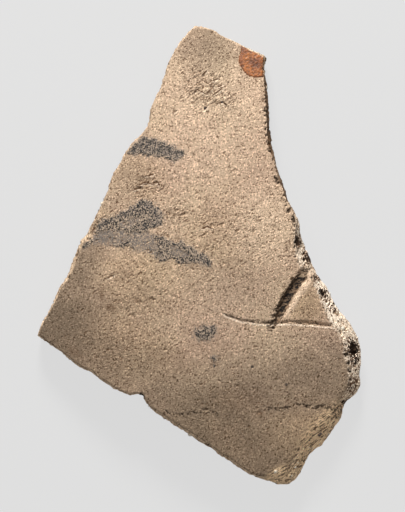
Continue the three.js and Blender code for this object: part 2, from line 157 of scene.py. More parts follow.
def patches(points, length, seed):
    """Soft random values from 0 to 1 over the view, in patches of about the given length."""
    lattice = np.random.default_rng(seed).random((512, 512))
    total, weights = 0, 0
    for octave, weight in enumerate((1, 0.5)):
        spot = points[:, :2] / (length / 2**octave) + 100
        cell = np.floor(spot).astype(int)
        share = smooth_step(spot - cell, 0, 1)
        i, j = cell[:, 0] % 511, cell[:, 1] % 511
        low = lattice[i, j] * (1 - share[:, 0]) + lattice[i + 1, j] * share[:, 0]
        high = lattice[i, j + 1] * (1 - share[:, 0]) + lattice[i + 1, j + 1] * share[:, 0]
        total = total + weight * (low * (1 - share[:, 1]) + high * share[:, 1])
        weights += weight
    return total / weights


# Meshes


def coordinates(mesh):
    values = np.empty(3 * len(mesh.vertices))
    mesh.vertices.foreach_get("co", values)
    return values.reshape(-1, 3)


def normals(mesh):
    values = np.empty(3 * len(mesh.vertices))
    mesh.vertex_normals.foreach_get("vector", values)
    return values.reshape(-1, 3)


def set_coordinates(mesh, points):
    mesh.vertices.foreach_set("co", points.astype(np.float32).ravel())
    mesh.update()


def read_values(mesh, name):
    values = np.empty(len(mesh.vertices))
    mesh.attributes[name].data.foreach_get("value", values)
    return values


def store_values(mesh, **marks):
    """Stores each mark's values on the vertices under its name."""
    for name, values in marks.items():
        attribute = mesh.attributes.get(name) or mesh.attributes.new(name, "FLOAT", "POINT")
        attribute.data.foreach_set("value", np.asarray(values, np.float32))


def new_object(name, mesh):
    obj = bpy.data.objects.new(name, mesh)
    bpy.context.scene.collection.objects.link(obj)
    return obj


def remove(obj):
    bpy.data.objects.remove(obj)


def joined_triangles(node):
    """A CAD node's loose triangles, joined at their corners."""
    kit = bmesh.new()
    kit.from_mesh(frame["nodes"][node].data)
    bmesh.ops.remove_doubles(kit, verts=kit.verts, dist=1e-7)
    return kit


def copy_of_node(name):
    kit = joined_triangles(name)
    mesh = bpy.data.meshes.new(name + "_copy")
    kit.to_mesh(mesh)
    kit.free()
    return new_object(name + "_copy", mesh)


def apply_modifiers(obj):
    graph = bpy.context.evaluated_depsgraph_get()
    mesh = bpy.data.meshes.new_from_object(obj.evaluated_get(graph))
    obj.modifiers.clear()
    obj.data = mesh
    return obj


def cut(obj, operation, tool):
    modifier = obj.modifiers.new("cut", "BOOLEAN")
    modifier.operation = operation
    modifier.solver = "MANIFOLD"
    modifier.object = tool
    return apply_modifiers(obj)


def even_grid(obj, size):
    modifier = obj.modifiers.new("even_grid", "REMESH")
    modifier.mode = "VOXEL"
    modifier.voxel_size = size
    return apply_modifiers(obj)


def shade_smooth(mesh):
    mesh.polygons.foreach_set("use_smooth", [True] * len(mesh.polygons))
    mesh.update()


# Node trees


def is_socket(value):
    return isinstance(value, bpy.types.NodeSocket)


def add_node(tree, kind, inputs=(), **settings):
    """A node with its settings made and its inputs linked or set."""
    made = tree.nodes.new(kind)
    for name, value in settings.items():
        setattr(made, name, value)
    for key, value in dict(inputs).items():
        socket = made.inputs[key]
        if is_socket(value):
            tree.links.new(value, socket)
        else:
            socket.default_value = value
    return made


def work_out(tree, operation, *values):
    return add_node(tree, "ShaderNodeMath", enumerate(values), operation=operation).outputs[0]


def one_by_one(tree, operation, values):
    """The values taken together one after the other."""
    result = values[0]
    for value in values[1:]:
        result = work_out(tree, operation, result, value)
    return result


def product(tree, *values):
    return one_by_one(tree, "MULTIPLY", values)


def total(tree, *values):
    return one_by_one(tree, "ADD", values)


def highest(tree, *values):
    return one_by_one(tree, "MAXIMUM", values)


def minus(tree, first, second):
    return work_out(tree, "SUBTRACT", first, second)


def vector(tree, operation, inputs, output=0):
    return add_node(tree, "ShaderNodeVectorMath", inputs, operation=operation).outputs[output]


def ease(tree, value, low, high, to_low=0.0, to_high=1.0):
    """The value's way from low to high as a soft step from to_low to to_high."""
    inputs = {0: value, 1: low, 2: high, 3: to_low, 4: to_high}
    return add_node(tree, "ShaderNodeMapRange", inputs, interpolation_type="SMOOTHSTEP").outputs[0]


def noise(tree, where, length, seed=0.0, detail=2.0, roughness=0.5):
    """Soft random values round 0.5, in patches of the given length."""
    inputs = {
        "Vector": where,
        "W": seed,
        "Scale": work_out(tree, "DIVIDE", 1.0, length) if is_socket(length) else 1 / length,
        "Detail": detail,
        "Roughness": roughness,
    }
    return add_node(tree, "ShaderNodeTexNoise", inputs, noise_dimensions="4D").outputs[0]


def stretched(tree, where, turn, along):
    """The place turned about Z and squeezed along the turned X, so that a pattern on it draws out."""
    spin = {"Vector": where, "Axis": (0, 0, 1), "Angle": -math.radians(turn)}
    turned = add_node(tree, "ShaderNodeVectorRotate", spin).outputs[0]
    return vector(tree, "MULTIPLY", {0: turned, 1: (1 / along, 1, 1)})


def geometry_tree(name, sizes):
    """A new Geometry Nodes tree with a named input for each size."""
    tree = bpy.data.node_groups.new(name, "GeometryNodeTree")
    tree.interface.new_socket("Geometry", in_out="INPUT", socket_type="NodeSocketGeometry")
    for size, value in sizes.items():
        socket = tree.interface.new_socket(size, in_out="INPUT", socket_type="NodeSocketFloat")
        socket.default_value = value
    tree.interface.new_socket("Geometry", in_out="OUTPUT", socket_type="NodeSocketGeometry")
    start = tree.nodes.new("NodeGroupInput")
    end = tree.nodes.new("NodeGroupOutput")
    return tree, start.outputs, end.inputs[0]


def run_geometry_tree(obj, tree, sizes):
    """Runs a tree on an object with its sizes set, and keeps the result as a plain mesh."""
    modifier = obj.modifiers.new(tree.name, "NODES")
    modifier.node_group = tree
    for item in tree.interface.items_tree:
        if item.in_out == "INPUT" and item.name in sizes:
            modifier[item.identifier] = sizes[item.name]
    return apply_modifiers(obj)


def named_value(tree, name):
    return add_node(tree, "GeometryNodeInputNamedAttribute", {"Name": name}, data_type="FLOAT").outputs[0]


def moved(tree, geometry, way, lift):
    """The geometry with its points moved along the way by the lift."""
    shift = vector(tree, "SCALE", {0: way, "Scale": lift})
    return add_node(tree, "GeometryNodeSetPosition", {"Geometry": geometry, "Offset": shift}).outputs[0]


def finish_tree(tree, geometry, result, material=None):
    """Ends a tree with real meshes and a material."""
    real = add_node(tree, "GeometryNodeRealizeInstances", {0: geometry}).outputs[0]
    painted = add_node(tree, "GeometryNodeSetMaterial", {"Geometry": real, "Material": material})
    tree.links.new(painted.outputs[0], result)


# The whole wall


def fitted_height(points, waves=False):
    """A smooth height over x and y through a surface's points. waves adds the throwing ridges."""
    def terms(x, y):
        u, v = x / FIT_ACROSS, y / FIT_ALONG
        columns = [u**i * v**j for i in range(5) for j in range(5 - i)]
        if waves:
            turn = 2 * math.pi * y / RIDGE_PITCH
            columns += [np.cos(turn), np.sin(turn)]
        return np.stack(columns, axis=1)

    kept = points
    for _ in range(4):
        weights = np.linalg.lstsq(terms(kept[:, 0], kept[:, 1]), kept[:, 2], rcond=None)[0]
        off = np.abs(terms(points[:, 0], points[:, 1]) @ weights - points[:, 2])
        kept = points[off < FACETS]

    return lambda x, y: terms(np.atleast_1d(x), np.atleast_1d(y)) @ weights


def steepness(height, x, y):
    """The upright part of the unit normal of a height."""
    step = 0.5 * MM
    slope_x = (height(x + step, y) - height(x - step, y)) / (2 * step)
    slope_y = (height(x, y + step) - height(x, y - step)) / (2 * step)
    return 1 / np.sqrt(1 + slope_x**2 + slope_y**2)


def facing_points(name, up):
    """The corners of a node's faces that look up (1) or down (-1)."""
    mesh = frame["nodes"][name].data
    points = coordinates(mesh)
    return np.array([
        points[i] for face in mesh.polygons if up * face.normal.z > 0.9 for i in face.vertices
    ])


outer_height = fitted_height(facing_points("outer_skin", 1))
inner_height = fitted_height(facing_points("inner_skin", -1), waves=True)


def depth_under_skin(points):
    x, y, z = points.T
    return (outer_height(x, y) - z) * steepness(outer_height, x, y)


# Lines through pixels of the view: the incised strokes, the wheel line's two stretches, the torn edges of
# the skin and the scratches
GROOVE_PATH = [(305, 276), (292, 294), (283, 310), (275, 326)]
GROOVE_LIP_PATH = [(299, 276), (289, 291), (281, 306), (273, 325)]
THIN_LINE_PATH = [(226, 314.5), (241, 320), (262, 323), (290, 322.5), (312, 324), (332, 326)]
WHEEL_LINE_PATHS = [
    [(165, 411), (177, 415), (198, 411.5), (206, 410), (219, 414.5)],
    [(264, 408), (282, 409), (292, 405), (300, 404), (314, 408), (322, 406), (330, 408.5), (343, 411)],
]
TORN_EDGE_PATHS = [
    [(267, 62), (266, 100), (269, 140), (277, 178), (286, 202), (297, 224)],
    [(297, 224), (296, 240), (298, 256), (304, 268)],
    [(309, 270), (315, 280), (325, 304), (335, 326), (343, 338), (347, 354), (351, 372), (352, 384)],
    GROOVE_LIP_PATH,
]
# Torn marks, each from left to right, so that their lower lips lie on the right hand
TEAR_PATHS = [
    [(194, 92.5), (197.5, 89.5), (202.5, 92.5)], [(206.5, 94), (209.5, 91), (212.5, 88.3)],
    [(214, 94.5), (218, 92), (222, 89)], [(218.5, 87), (221.5, 85.7)],
    [(219.5, 103.5), (222.5, 101.8), (225.5, 104.5)], [(204.5, 109.8), (206.3, 107.8)],
    [(173, 112.8), (175.5, 111.5)], [(203, 74.5), (206, 71.5)], [(213.5, 81), (216.5, 79.5)],
    [(139.5, 185.5), (146, 182), (152, 184.5)], [(134.5, 190), (140.5, 187.5)],
    [(153.5, 183), (158, 182), (159.5, 185.5)], [(148, 176), (153, 174.5)],
    [(203, 228.5), (207, 226.5), (210.5, 228)], [(152, 226), (156, 225)], [(109, 277.5), (113.5, 275.5)],
]
SCRATCH_PATHS = [
    [(83, 279), (82, 297), (84, 313)], [(252, 212), (258, 230)], [(304, 307), (303, 317)],
    [(268, 226), (277, 228)], [(92, 236), (98, 223)],
]

# Soft ovals: column, row, half width, half height, turn and strength
FRESH_BREAK = [
    (305, 245, 14, 30, 0, 0.8), (330, 300, 30, 40, 0, 1), (352, 360, 22, 50, 0, 0.85),
    (318, 450, 42, 34, 30, 1), (350, 396, 16, 12, 50, 1),
]
SCORED_BREAK = [(321, 443, 54, 21, 56, 1), (281, 477, 22, 12, 25, 0.9)]
# Dark brown along the steep upper right edge: old break colour and painted shade.
OLD_AND_SHADED_BREAK = [
    (270, 120, 9, 75, 0, 1), (284, 190, 8, 20, 20, 0.8), (300, 236, 6, 14, 0, 0.6),
]
ROUGH_BREAK = [
    (297, 242, 4, 9, 10, 0.8), (307, 258, 4, 9, 20, 0.8), (316, 278, 5, 6, 40, 0.8),
    (324, 294, 5, 8, 30, 0.7), (333, 308, 5, 8, 30, 0.5), (352, 352, 9, 14, 0, 0.7),
    (351, 386, 11, 26, 10, 0.5), (345, 408, 12, 9, 0, 0.7), (268, 110, 8, 60, 0, 0.5),
    (284, 190, 8, 30, 20, 0.6),
]
# Deep holes in the break, given painted shade of soil colour; strength is how dark.
SHADED_HOLES = [
    (353, 348, 6, 9, 18, 0.8), (322.5, 293, 3, 4, 30, 0.9), (297.5, 242, 3, 7, 10, 0.8),
    (347, 403, 6, 3, 20, 0.8), (357, 360, 3, 4, 0, 0.8), (308, 258, 3, 5, 20, 0.8),
    (313, 277, 4, 2.5, -50, 0.7), (142, 395, 3, 4, 0, 0.9),
]
PITTED_SKIN = [
    (207, 88, 20, 34, 60, 1), (148, 185, 24, 16, 30, 0.9), (228, 225, 46, 30, 0, 0.6),
    (180, 215, 24, 14, 0, 0.7), (190, 250, 60, 40, 0, 0.5), (140, 300, 50, 40, 0, 0.5),
    (130, 350, 50, 26, 0, 0.55), (225, 390, 40, 20, 0, 0.45), (285, 405, 50, 14, 0, 0.4),
    (110, 215, 30, 40, 0, 0.4), (255, 260, 40, 40, 0, 0.4),
]


def store_masks(wall):
    """Marks the wall's skin, break, inside, strokes and worn zones on its vertices.

    The lines' own marks are distances in millimetres, so that a material can draw them sharp."""
    mesh = wall.data
    points = coordinates(mesh)
    depth = depth_under_skin(points)
    x, y, z = points.T
    above_inside = (z - inner_height(x, y)) * steepness(inner_height, x, y)
    scored = soft_spots(points, SCORED_BREAK)
    skin = 1 - smooth_step(depth, FACETS, 0.4 * MM + 2.4 * MM * scored)
    inside = 1 - smooth_step(above_inside, FACETS, 0.4 * MM)
    outer_side = 1 - smooth_step(depth, 2.8 * MM, 3.6 * MM)

    offsets = {
        "from_groove": offset_from_path(points, GROOVE_PATH),
        "from_thin_line": offset_from_path(points, THIN_LINE_PATH),
        "from_wheel_line": np.abs(nearest_offset(points, WHEEL_LINE_PATHS)),
        "from_tear": nearest_offset(points, TEAR_PATHS),
    }
    for name, offset in offsets.items():
        store_values(mesh, **{name: np.where(outer_side > 0.5, np.clip(offset / MM, -5, 5), 5)})

    def near(name, half_width, end):
        return (1 - smooth_step(np.abs(offsets[name]), half_width, end)) * outer_side

    groove = near("from_groove", 2.4 * MM, 3.2 * MM)
    lines = [near("from_thin_line", 0.5 * MM, 1 * MM), near("from_wheel_line", 0.3 * MM, 0.7 * MM)]
    cut_in = np.max([groove, *lines], axis=0) * (1 - skin)

    # The groove's steep wall and bottom get soil colour, as dirt and as painted shade, and beside its long
    # slope the skin gets a painted highlight of pale buff.
    across = offsets["from_groove"]
    slope_side = smooth_step(across, 0.5 * MM, 1.1 * MM)
    slope = slope_side * groove * (1 - skin)
    beside = slope_side * (1 - smooth_step(across, 2.2 * MM, 3.2 * MM))
    above_end = smooth_step(y, place(0, 323)[1], place(0, 308)[1])
    below_top = smooth_step(y, place(0, 270)[1], place(0, 280)[1])

    store_values(
        mesh,
        skin=skin,
        inside=inside,
        cut_in=cut_in,
        broken=np.clip(1 - skin - inside - cut_in, 0, 1),
        fresh=soft_spots(points, FRESH_BREAK),
        scored=scored,
        rough=soft_spots(points, ROUGH_BREAK),
        dirty=soft_spots(points, OLD_AND_SHADED_BREAK),
        hole=soft_spots(points, SHADED_HOLES) * (1 - skin),
        pitted=0.12 + soft_spots(points, PITTED_SKIN),
        scraped=beside * outer_side * above_end,
        grime=groove * (1 - skin) * (1 - slope) * below_top,
        torn=along_lines(points, TORN_EDGE_PATHS, 0.6 * MM, 1.1 * MM) * outer_side,
        scratched=along_lines(points, SCRATCH_PATHS, 0.1 * MM, 0.35 * MM) * skin,
    )


def round_off_facets(wall):
    """Moves the flat facets of the outside and the inside onto their smooth surfaces."""
    mesh = wall.data
    points = coordinates(mesh)
    x, y, z = points.T
    upright = normals(mesh)[:, 2]
    for height, side in ((outer_height, 1), (inner_height, -1)):
        off = height(x, y) - z
        share = (1 - smooth_step(np.abs(off), 0.07 * MM, 0.16 * MM)) * smooth_step(side * upright, 0.8, 0.95)
        points[:, 2] += share * off
    set_coordinates(mesh, points)


WALL_TEXTURE = {
    "Swell height": 0.14 * MM,
    "Swell length": 9 * MM,
    "Grain height": 0.08 * MM,
    "Grain length": 0.8 * MM,
    "Tear depth": 0.55 * MM,
    "Tear length": 1.2 * MM,
    "Pit depth": 0.4 * MM,
    "Pit length": 0.75 * MM,
    "Wipe height": 0.06 * MM,
    "Wipe length": 0.8 * MM,
    "Hackle height": 1.0 * MM,
    "Hackle length": 4.2 * MM,
    "Crumb height": 1.0 * MM,
    "Crumb length": 0.9 * MM,
    "Void depth": 1.0 * MM,
    "Void length": 1.5 * MM,
    "Score height": 1.2 * MM,
    "Score length": 0.9 * MM,
    "Notch depth": 0.6 * MM,
    "Notch length": 0.9 * MM,
    "Stroke roughness": 0.9 * MM,
    "Seed": 4.0,
}


def texture_tree():
    """Roughens the wall: pits and grain on the skin, hackles and voids in the break, wiping inside."""
    tree, size, result = geometry_tree("wall_texture", WALL_TEXTURE)
    where = tree.nodes.new("GeometryNodeInputPosition").outputs[0]
    names = "skin broken inside cut_in pitted scored fresh torn grime scratched"
    marks = (named_value(tree, name) for name in names.split())
    skin, broken, inside, cut_in, pitted, scored, fresh, torn, grime, scratched = marks

    def relief(length, turn=0, along=1, detail=2.0, seed=0.0):
        place_there = stretched(tree, where, turn, along) if along != 1 else where
        value = noise(tree, place_there, size[length], total(tree, size["Seed"], seed), detail)
        return minus(tree, value, 0.5)

    def hollows(length, least, most, **pattern):
        """Hollows where a pattern is over an edge that falls from least to most as the skin gets pitted."""
        edge = ease(tree, pitted, 0.0, 1.0, least, most)
        return ease(tree, minus(tree, relief(length, **pattern), edge), 0.0, 0.06)

    swell = product(tree, relief("Swell length", seed=1), size["Swell height"])
    coarser = ease(tree, pitted, 0.1, 1.0, 0.7, 2.5)
    grain = product(tree, relief("Grain length", 38, 1.6, 3, seed=2), size["Grain height"], coarser)
    patchy = ease(tree, relief("Swell length", seed=4), -0.1, 0.12, 0.4, 1.0)
    pit = product(tree, hollows("Pit length", 0.19, 0.07, turn=20, along=1.2, seed=3), patchy)
    tear = product(tree, hollows("Tear length", 0.3, 0.045, turn=34, along=1.7, detail=3, seed=12), patchy)
    hollow = total(tree, product(tree, pit, size["Pit depth"]), product(tree, tear, size["Tear depth"]))
    wipe = product(tree, relief("Wipe length", 8, 9, seed=5), size["Wipe height"])
    notch = product(tree, ease(tree, relief("Notch length", 24, 1.8, 3, seed=13), -0.03, 0.1), torn)
    scratch = product(tree, scratched, SCRATCH_DEPTH)
    lowered = total(tree, hollow, product(tree, notch, size["Notch depth"]), scratch)
    on_skin = product(tree, skin, minus(tree, total(tree, swell, grain, wipe), lowered))

    aged = minus(tree, 1.0, product(tree, fresh, 0.55))
    hackle = product(tree, relief("Hackle length", seed=6, detail=3), size["Hackle height"], aged)
    crumb_pattern = relief("Crumb length", seed=7, detail=2)
    unscored = minus(tree, 1.0, product(tree, scored, 0.75))
    crumb = product(tree, crumb_pattern, size["Crumb height"], unscored, aged)
    void = product(tree, ease(tree, relief("Void length", seed=8, detail=1), 0.08, 0.16), unscored)
    voids = product(tree, void, size["Void depth"])
    scores = product(tree, scored, relief("Score length", 32, 7, seed=9), size["Score height"])
    rough = minus(tree, total(tree, hackle, crumb, scores), voids)
    on_break = product(tree, broken, minus(tree, rough, 0.1 * MM))

    comb = relief("Notch length", 4, 3.5, 3, seed=10)
    on_stroke = product(tree, cut_in, comb, size["Stroke roughness"])
    wiping = product(tree, relief("Wipe length", 0, 14, seed=11), size["Wipe height"], 2.0)
    on_inside = product(tree, inside, total(tree, grain, swell, wiping))

    lift = total(tree, on_skin, on_break, on_stroke, on_inside)
    broken_up = ease(tree, relief("Notch length", seed=14, detail=3), -0.12, 0.08, 0.5, 1.0)
    # Dirt in pits, notches, scratches, voids and low crumbs, and the groove's soil and painted shade.
    dirt = total(
        tree,
        product(tree, total(tree, product(tree, pit, 0.4), product(tree, tear, 0.12)), skin),
        product(tree, notch, skin, 0.9),
        product(tree, scratched, 0.4),
        product(tree, void, broken, aged, aged),
        product(tree, ease(tree, crumb_pattern, -0.04, -0.14), broken, unscored, aged, aged, 0.7),
        product(tree, grime, broken_up),
    )
    normal = tree.nodes.new("GeometryNodeInputNormal").outputs[0]
    stored = add_node(
        tree, "GeometryNodeStoreNamedAttribute",
        {"Geometry": size["Geometry"], "Name": "dirt", "Value": dirt}, data_type="FLOAT", domain="POINT",
    ).outputs[0]
    finish_tree(tree, moved(tree, stored, normal, lift), result)
    return tree


def soften(mesh, share, rounds):
    """Evens out a mesh where the share of each vertex says, by moving it towards its neighbours' middle."""
    ends = np.empty(2 * len(mesh.edges), int)
    mesh.edges.foreach_get("vertices", ends)
    ends = ends.reshape(-1, 2)
    near = ends[(share[ends] > 0.01).any(axis=1)]
    used, numbers = np.unique(near, return_inverse=True)
    one, other = numbers.reshape(-1, 2).T
    count = len(used)
    neighbours = np.bincount(one, minlength=count) + np.bincount(other, minlength=count)
    points = coordinates(mesh)
    for axis in range(3):
        line = points[used, axis]
        for _ in range(rounds):
            sums = np.bincount(one, line[other], count) + np.bincount(other, line[one], count)
            line = line + share[used] * (share[used] > 0.01) * (sums / neighbours - line)
        points[used, axis] = line
    set_coordinates(mesh, points)


def keep_in_box(mesh):
    """Stops a mesh at the faces of the CAD part's box."""
    low, high = (np.array(corner) for corner in cad_box)
    set_coordinates(mesh, np.clip(coordinates(mesh), low, high))


def whole_wall():
    """The three layers as one even mesh with its texture."""
    wall = copy_of_node("outer_skin")
    for name in ("clay_core", "inner_skin"):
        other = copy_of_node(name)
        cut(wall, "UNION", other)
        remove(other)
    even_grid(wall, GRID)
    round_off_facets(wall)
    points = coordinates(wall.data)
    under_the_break = smooth_step(depth_under_skin(points), 5 * MM, 3.5 * MM)
    soften(wall.data, soft_spots(points, SCORED_BREAK) * under_the_break, 160)
    store_masks(wall)
    run_geometry_tree(wall, texture_tree(), WALL_TEXTURE)
    keep_in_box(wall.data)
    return wall


# Layers of the wall


def slab(lower, upper):
    """A closed block between two heights, wider than the sherd."""
    reach_x, reach_y, step = 0.056, 0.076, 1 * MM
    xs = np.arange(-reach_x, reach_x + step / 2, step)
    ys = np.arange(-reach_y, reach_y + step / 2, step)
    grid_x, grid_y = (part.ravel() for part in np.meshgrid(xs, ys, indexing="ij"))
    sheets = [np.stack([grid_x, grid_y, height(grid_x, grid_y)], axis=1) for height in (lower, upper)]
    rows, columns = len(xs), len(ys)
    count = rows * columns
    faces = []
    for i in range(rows - 1):
        for j in range(columns - 1):
            a, b = i * columns + j, (i + 1) * columns + j
            faces.append((a, a + 1, b + 1, b))
            faces.append((count + a, count + b, count + b + 1, count + a + 1))
    rim = [i * columns for i in range(rows)]
    rim += [(rows - 1) * columns + j for j in range(1, columns)]
    rim += [i * columns + columns - 1 for i in range(rows - 2, -1, -1)]
    rim += [j for j in range(columns - 2, 0, -1)]
    faces += [(a, b, b + count, a + count) for a, b in zip(rim, rim[1:] + rim[:1])]
    mesh = bpy.data.meshes.new("slab")
    mesh.from_pydata(np.concatenate(sheets).tolist(), [], faces)
    mesh.update()
    return new_object("slab", mesh)


def seam(depth, seed):
    """A height at a given depth under the skin that wanders a little, as a firing line does."""
    def height(x, y):
        wander = patches(np.stack([x, y], axis=1), 5 * MM, seed) - 0.5
        return outer_height(x, y) - (depth + 0.5 * MM * wander) / steepness(outer_height, x, y)
    return height


def far(offset):
    return lambda x, y: outer_height(x, y) + offset


def layer(wall, name, lower, upper):
    """The part of the wall between two heights, with what was marked on the wall."""
    obj = new_object(name, wall.data.copy())
    store_values(obj.data, on_wall=np.ones(len(obj.data.vertices)))
    tool = slab(lower, upper)
    cut(obj, "INTERSECT", tool)
    remove(tool)
    mend_marks(obj.data, wall.data)
    shade_smooth(obj.data)
    obj.data.materials.clear()
    return obj


# The marks that the materials and the scattered grains read
MARKS = (
    "skin", "broken", "fresh", "scored", "rough", "dirty", "hole", "pitted", "scraped", "grime", "torn",
    "dirt", "pigment", "wash", "red", "tone", "warm", "pale", "smudge",
    "from_groove", "from_thin_line", "from_wheel_line", "from_tear",
)


def mend_marks(mesh, wall_mesh):
    """Gives the vertices that a cut made the marks of the nearest vertex of the wall."""
    made = np.nonzero(read_values(mesh, "on_wall") < 0.999)[0]
    points = coordinates(mesh)[made]
    tree = KDTree(len(wall_mesh.vertices))
    for i, point in enumerate(coordinates(wall_mesh)):
        tree.insert(point, i)
    tree.balance()
    nearest = np.array([tree.find(point)[1] for point in points], int)
    for name in MARKS:
        values = read_values(mesh, name)
        values[made] = read_values(wall_mesh, name)[nearest]
        store_values(mesh, **{name: values})
    mesh.attributes.remove(mesh.attributes["on_wall"])


# Pigment and paint


def inside_outline(points, node, reach=3 * MM):
    """How far inside a film's outline each point lies, seen from above, and how far outside below zero."""
    kit = joined_triangles(node)
    ends = [
        [(v.co.x, v.co.y) for v in edge.verts]
        for edge in kit.edges
        if sum(face.normal.z > 0.5 for face in edge.link_faces) == 1
    ]
    kit.free()
    start, end = (np.array([pair[i] for pair in ends]) for i in (0, 1))
    low, high = start.min(0) - reach, start.max(0) + reach
    near = np.nonzero(np.all((points[:, :2] > low) & (points[:, :2] < high), axis=1))[0]
    spots = points[near, None, :2]
    along = end - start
    share = np.clip(((spots - start) * along).sum(2) / (along**2).sum(1), 0, 1)
    gap = np.linalg.norm(spots - start - share[..., None] * along, axis=2).min(1)
    above = (start[:, 1] > spots[..., 1]) != (end[:, 1] > spots[..., 1])
    rise = np.where(along[:, 1] == 0, 1e-12, along[:, 1])
    crossing = start[:, 0] + along[:, 0] * (spots[..., 1] - start[:, 1]) / rise
    inside = (above & (spots[..., 0] < crossing)).sum(1) % 2 == 1
    result = np.full(len(points), -reach)
    result[near] = np.maximum(np.where(inside, gap, -gap), -reach)
    return result


PIGMENT_PIECES = {
    "dark_stroke_upper": "upper_pigment_stroke",
    "dark_stroke_middle": "middle_pigment_stroke",
    "dark_spot_lower": "lower_pigment_spot",
    "dark_fleck": "pigment_fleck",
}

# Soft ovals: column, row, half width, half height, turn and strength. The first are where the middle stroke
# is thin and grey; the others make the skin greyer, warmer or paler in patches, greyer and darker towards
# the bottom and the lower left.
THIN_PIGMENT = [
    (112, 237, 30, 11, 5, 0.75), (142, 241, 24, 12, -20, 0.8), (152, 252, 22, 9, -10, 0.6),
    (128, 223, 26, 8, 18, 0.6), (146, 217, 12, 8, 0, 0.35), (178, 252, 22, 8, -20, 0.65),
    (204, 334, 13, 10, 0, 0.3),
]
GREY_SKIN = [
    (55, 325, 60, 70, 30, 1), (110, 360, 80, 40, -30, 0.65), (210, 425, 110, 50, -20, 0.9),
    (270, 470, 80, 40, -20, 0.8), (330, 380, 80, 40, 0, 0.75), (130, 305, 50, 40, 0, 0.3),
    (200, 42, 40, 26, -20, 0.75), (260, 390, 70, 40, 0, 0.75), (305, 308, 14, 18, 0, 0.3),
    (82, 268, 20, 40, -30, 0.95), (228, 282, 50, 34, 0, 0.3), (126, 184, 20, 34, -40, 0.4),
]
WARM_SKIN = [
    (130, 178, 30, 36, 50, 0.35), (100, 215, 14, 24, 60, 0.35), (150, 280, 60, 40, 0, 0.4),
    (240, 240, 60, 40, 0, 0.3), (120, 345, 60, 40, -30, 0.4), (230, 440, 70, 40, -20, 0.5),
    (300, 440, 50, 40, 0, 0.6), (305, 305, 20, 20, 0, 0.6),
]
PALE_SKIN = [
    (262, 232, 36, 44, 0, 0.6), (215, 120, 50, 60, 0, 0.3), (200, 290, 50, 30, 0, 0.3),
    (120, 200, 30, 40, 0, 0.25),
]
# Smudges; the one at column 93 is painted shade along the small spall's step on the left edge.
SMUDGES = [
    (102, 294, 2.2, 7, 0, 0.75), (111, 307, 5, 3.5, -20, 0.8), (118, 301, 3, 3, 0, 0.5),
    (93, 229, 2, 7, -25, 0.7), (136, 300, 3, 3, 0, 0.5), (213, 362, 5, 8, 0, 0.35),
    (259, 413, 4, 2.5, 0, 0.7), (75, 352, 8, 4, -30, 0.4), (236, 398, 26, 12, 0, 0.25),
    (178, 360, 30, 12, -20, 0.2), (205, 345, 26, 12, 0, 0.15),
]


def store_colour_marks(wall):
    """Marks pigment, red paint and the skin's shades on the wall's vertices."""
    mesh = wall.data
    points = coordinates(mesh)
    ragged = (patches(points, 1.4 * MM, 21) - 0.5) * 1.8 * MM
    ragged += (patches(points, 0.5 * MM, 22) - 0.5) * 1.2 * MM
    pigment, wash = np.zeros(len(points)), np.zeros(len(points))
    for node in PIGMENT_PIECES:
        depth = inside_outline(points, node) + ragged
        pigment = np.maximum(pigment, smooth_step(depth, -0.7 * MM, 1.3 * MM))
        wash = np.maximum(wash, smooth_step(depth, -1.6 * MM, 1.6 * MM))
    pigment *= 1 - soft_spots(points, THIN_PIGMENT)
    red = smooth_step(inside_outline(points, "red_daub") + 0.3 * ragged, -0.15 * MM, 0.25 * MM)
    shallow = 1 - smooth_step(depth_under_skin(points), 1.0 * MM, 2.6 * MM)
    store_values(
        mesh,
        pigment=pigment * shallow,
        wash=wash * shallow,
        red=red * shallow,
        tone=soft_spots(points, GREY_SKIN),
        warm=soft_spots(points, WARM_SKIN),
        pale=soft_spots(points, PALE_SKIN),
        smudge=soft_spots(points, SMUDGES),
    )


def worn_film(name, skin, chosen, thickness):
    """A thin closed film over the chosen faces of the skin, following its pits and grain."""
    mesh = skin.data
    points, outward = coordinates(mesh), normals(mesh)
    faces = [tuple(mesh.polygons[i].vertices) for i in chosen]
    used = sorted({i for face in faces for i in face})
    number = {old: new for new, old in enumerate(used)}
    count = len(used)
    base, out = points[used], outward[used]
    faces = [tuple(number[i] for i in face) for face in faces]
    one_way = {(a, b) for face in faces for a, b in zip(face, face[1:] + face[:1])}
    rim = [(a, b) for a, b in one_way if (b, a) not in one_way]
    on_rim = np.zeros(count, bool)
    on_rim[[i for pair in rim for i in pair]] = True
    lift = np.where(on_rim, 0.35, 1.0)[:, None] * thickness
    all_points = np.concatenate([base + lift * out, base - FILM_ROOT * out])
    all_faces = faces + [tuple(i + count for i in reversed(face)) for face in faces]
    all_faces += [(b, a, a + count, b + count) for a, b in sorted(rim)]
    film = bpy.data.meshes.new(name)
    film.from_pydata(all_points.tolist(), [], all_faces)
    store_values(film, pigment=np.tile(read_values(mesh, "pigment")[used], 2))
    keep_in_box(film)
    shade_smooth(film)
    return new_object(name, film)


def face_values(mesh, name, faces):
    values = read_values(mesh, name)
    return np.array([np.mean([values[i] for i in mesh.polygons[face].vertices]) for face in faces])


def pigment_edge(places):
    """How strong the pigment's mark has to be for its film to lie at a place."""
    speckle = 0.5 * patches(places, 0.8 * MM, 41) + 0.5 * patches(places, 2.2 * MM, 42)
    return 0.22 + 0.4 * speckle


def paint_edge(places):
    """How strong the red paint's mark has to be for its film to lie at a place."""
    return 0.35 + 0.35 * patches(places, 0.8 * MM, 43)


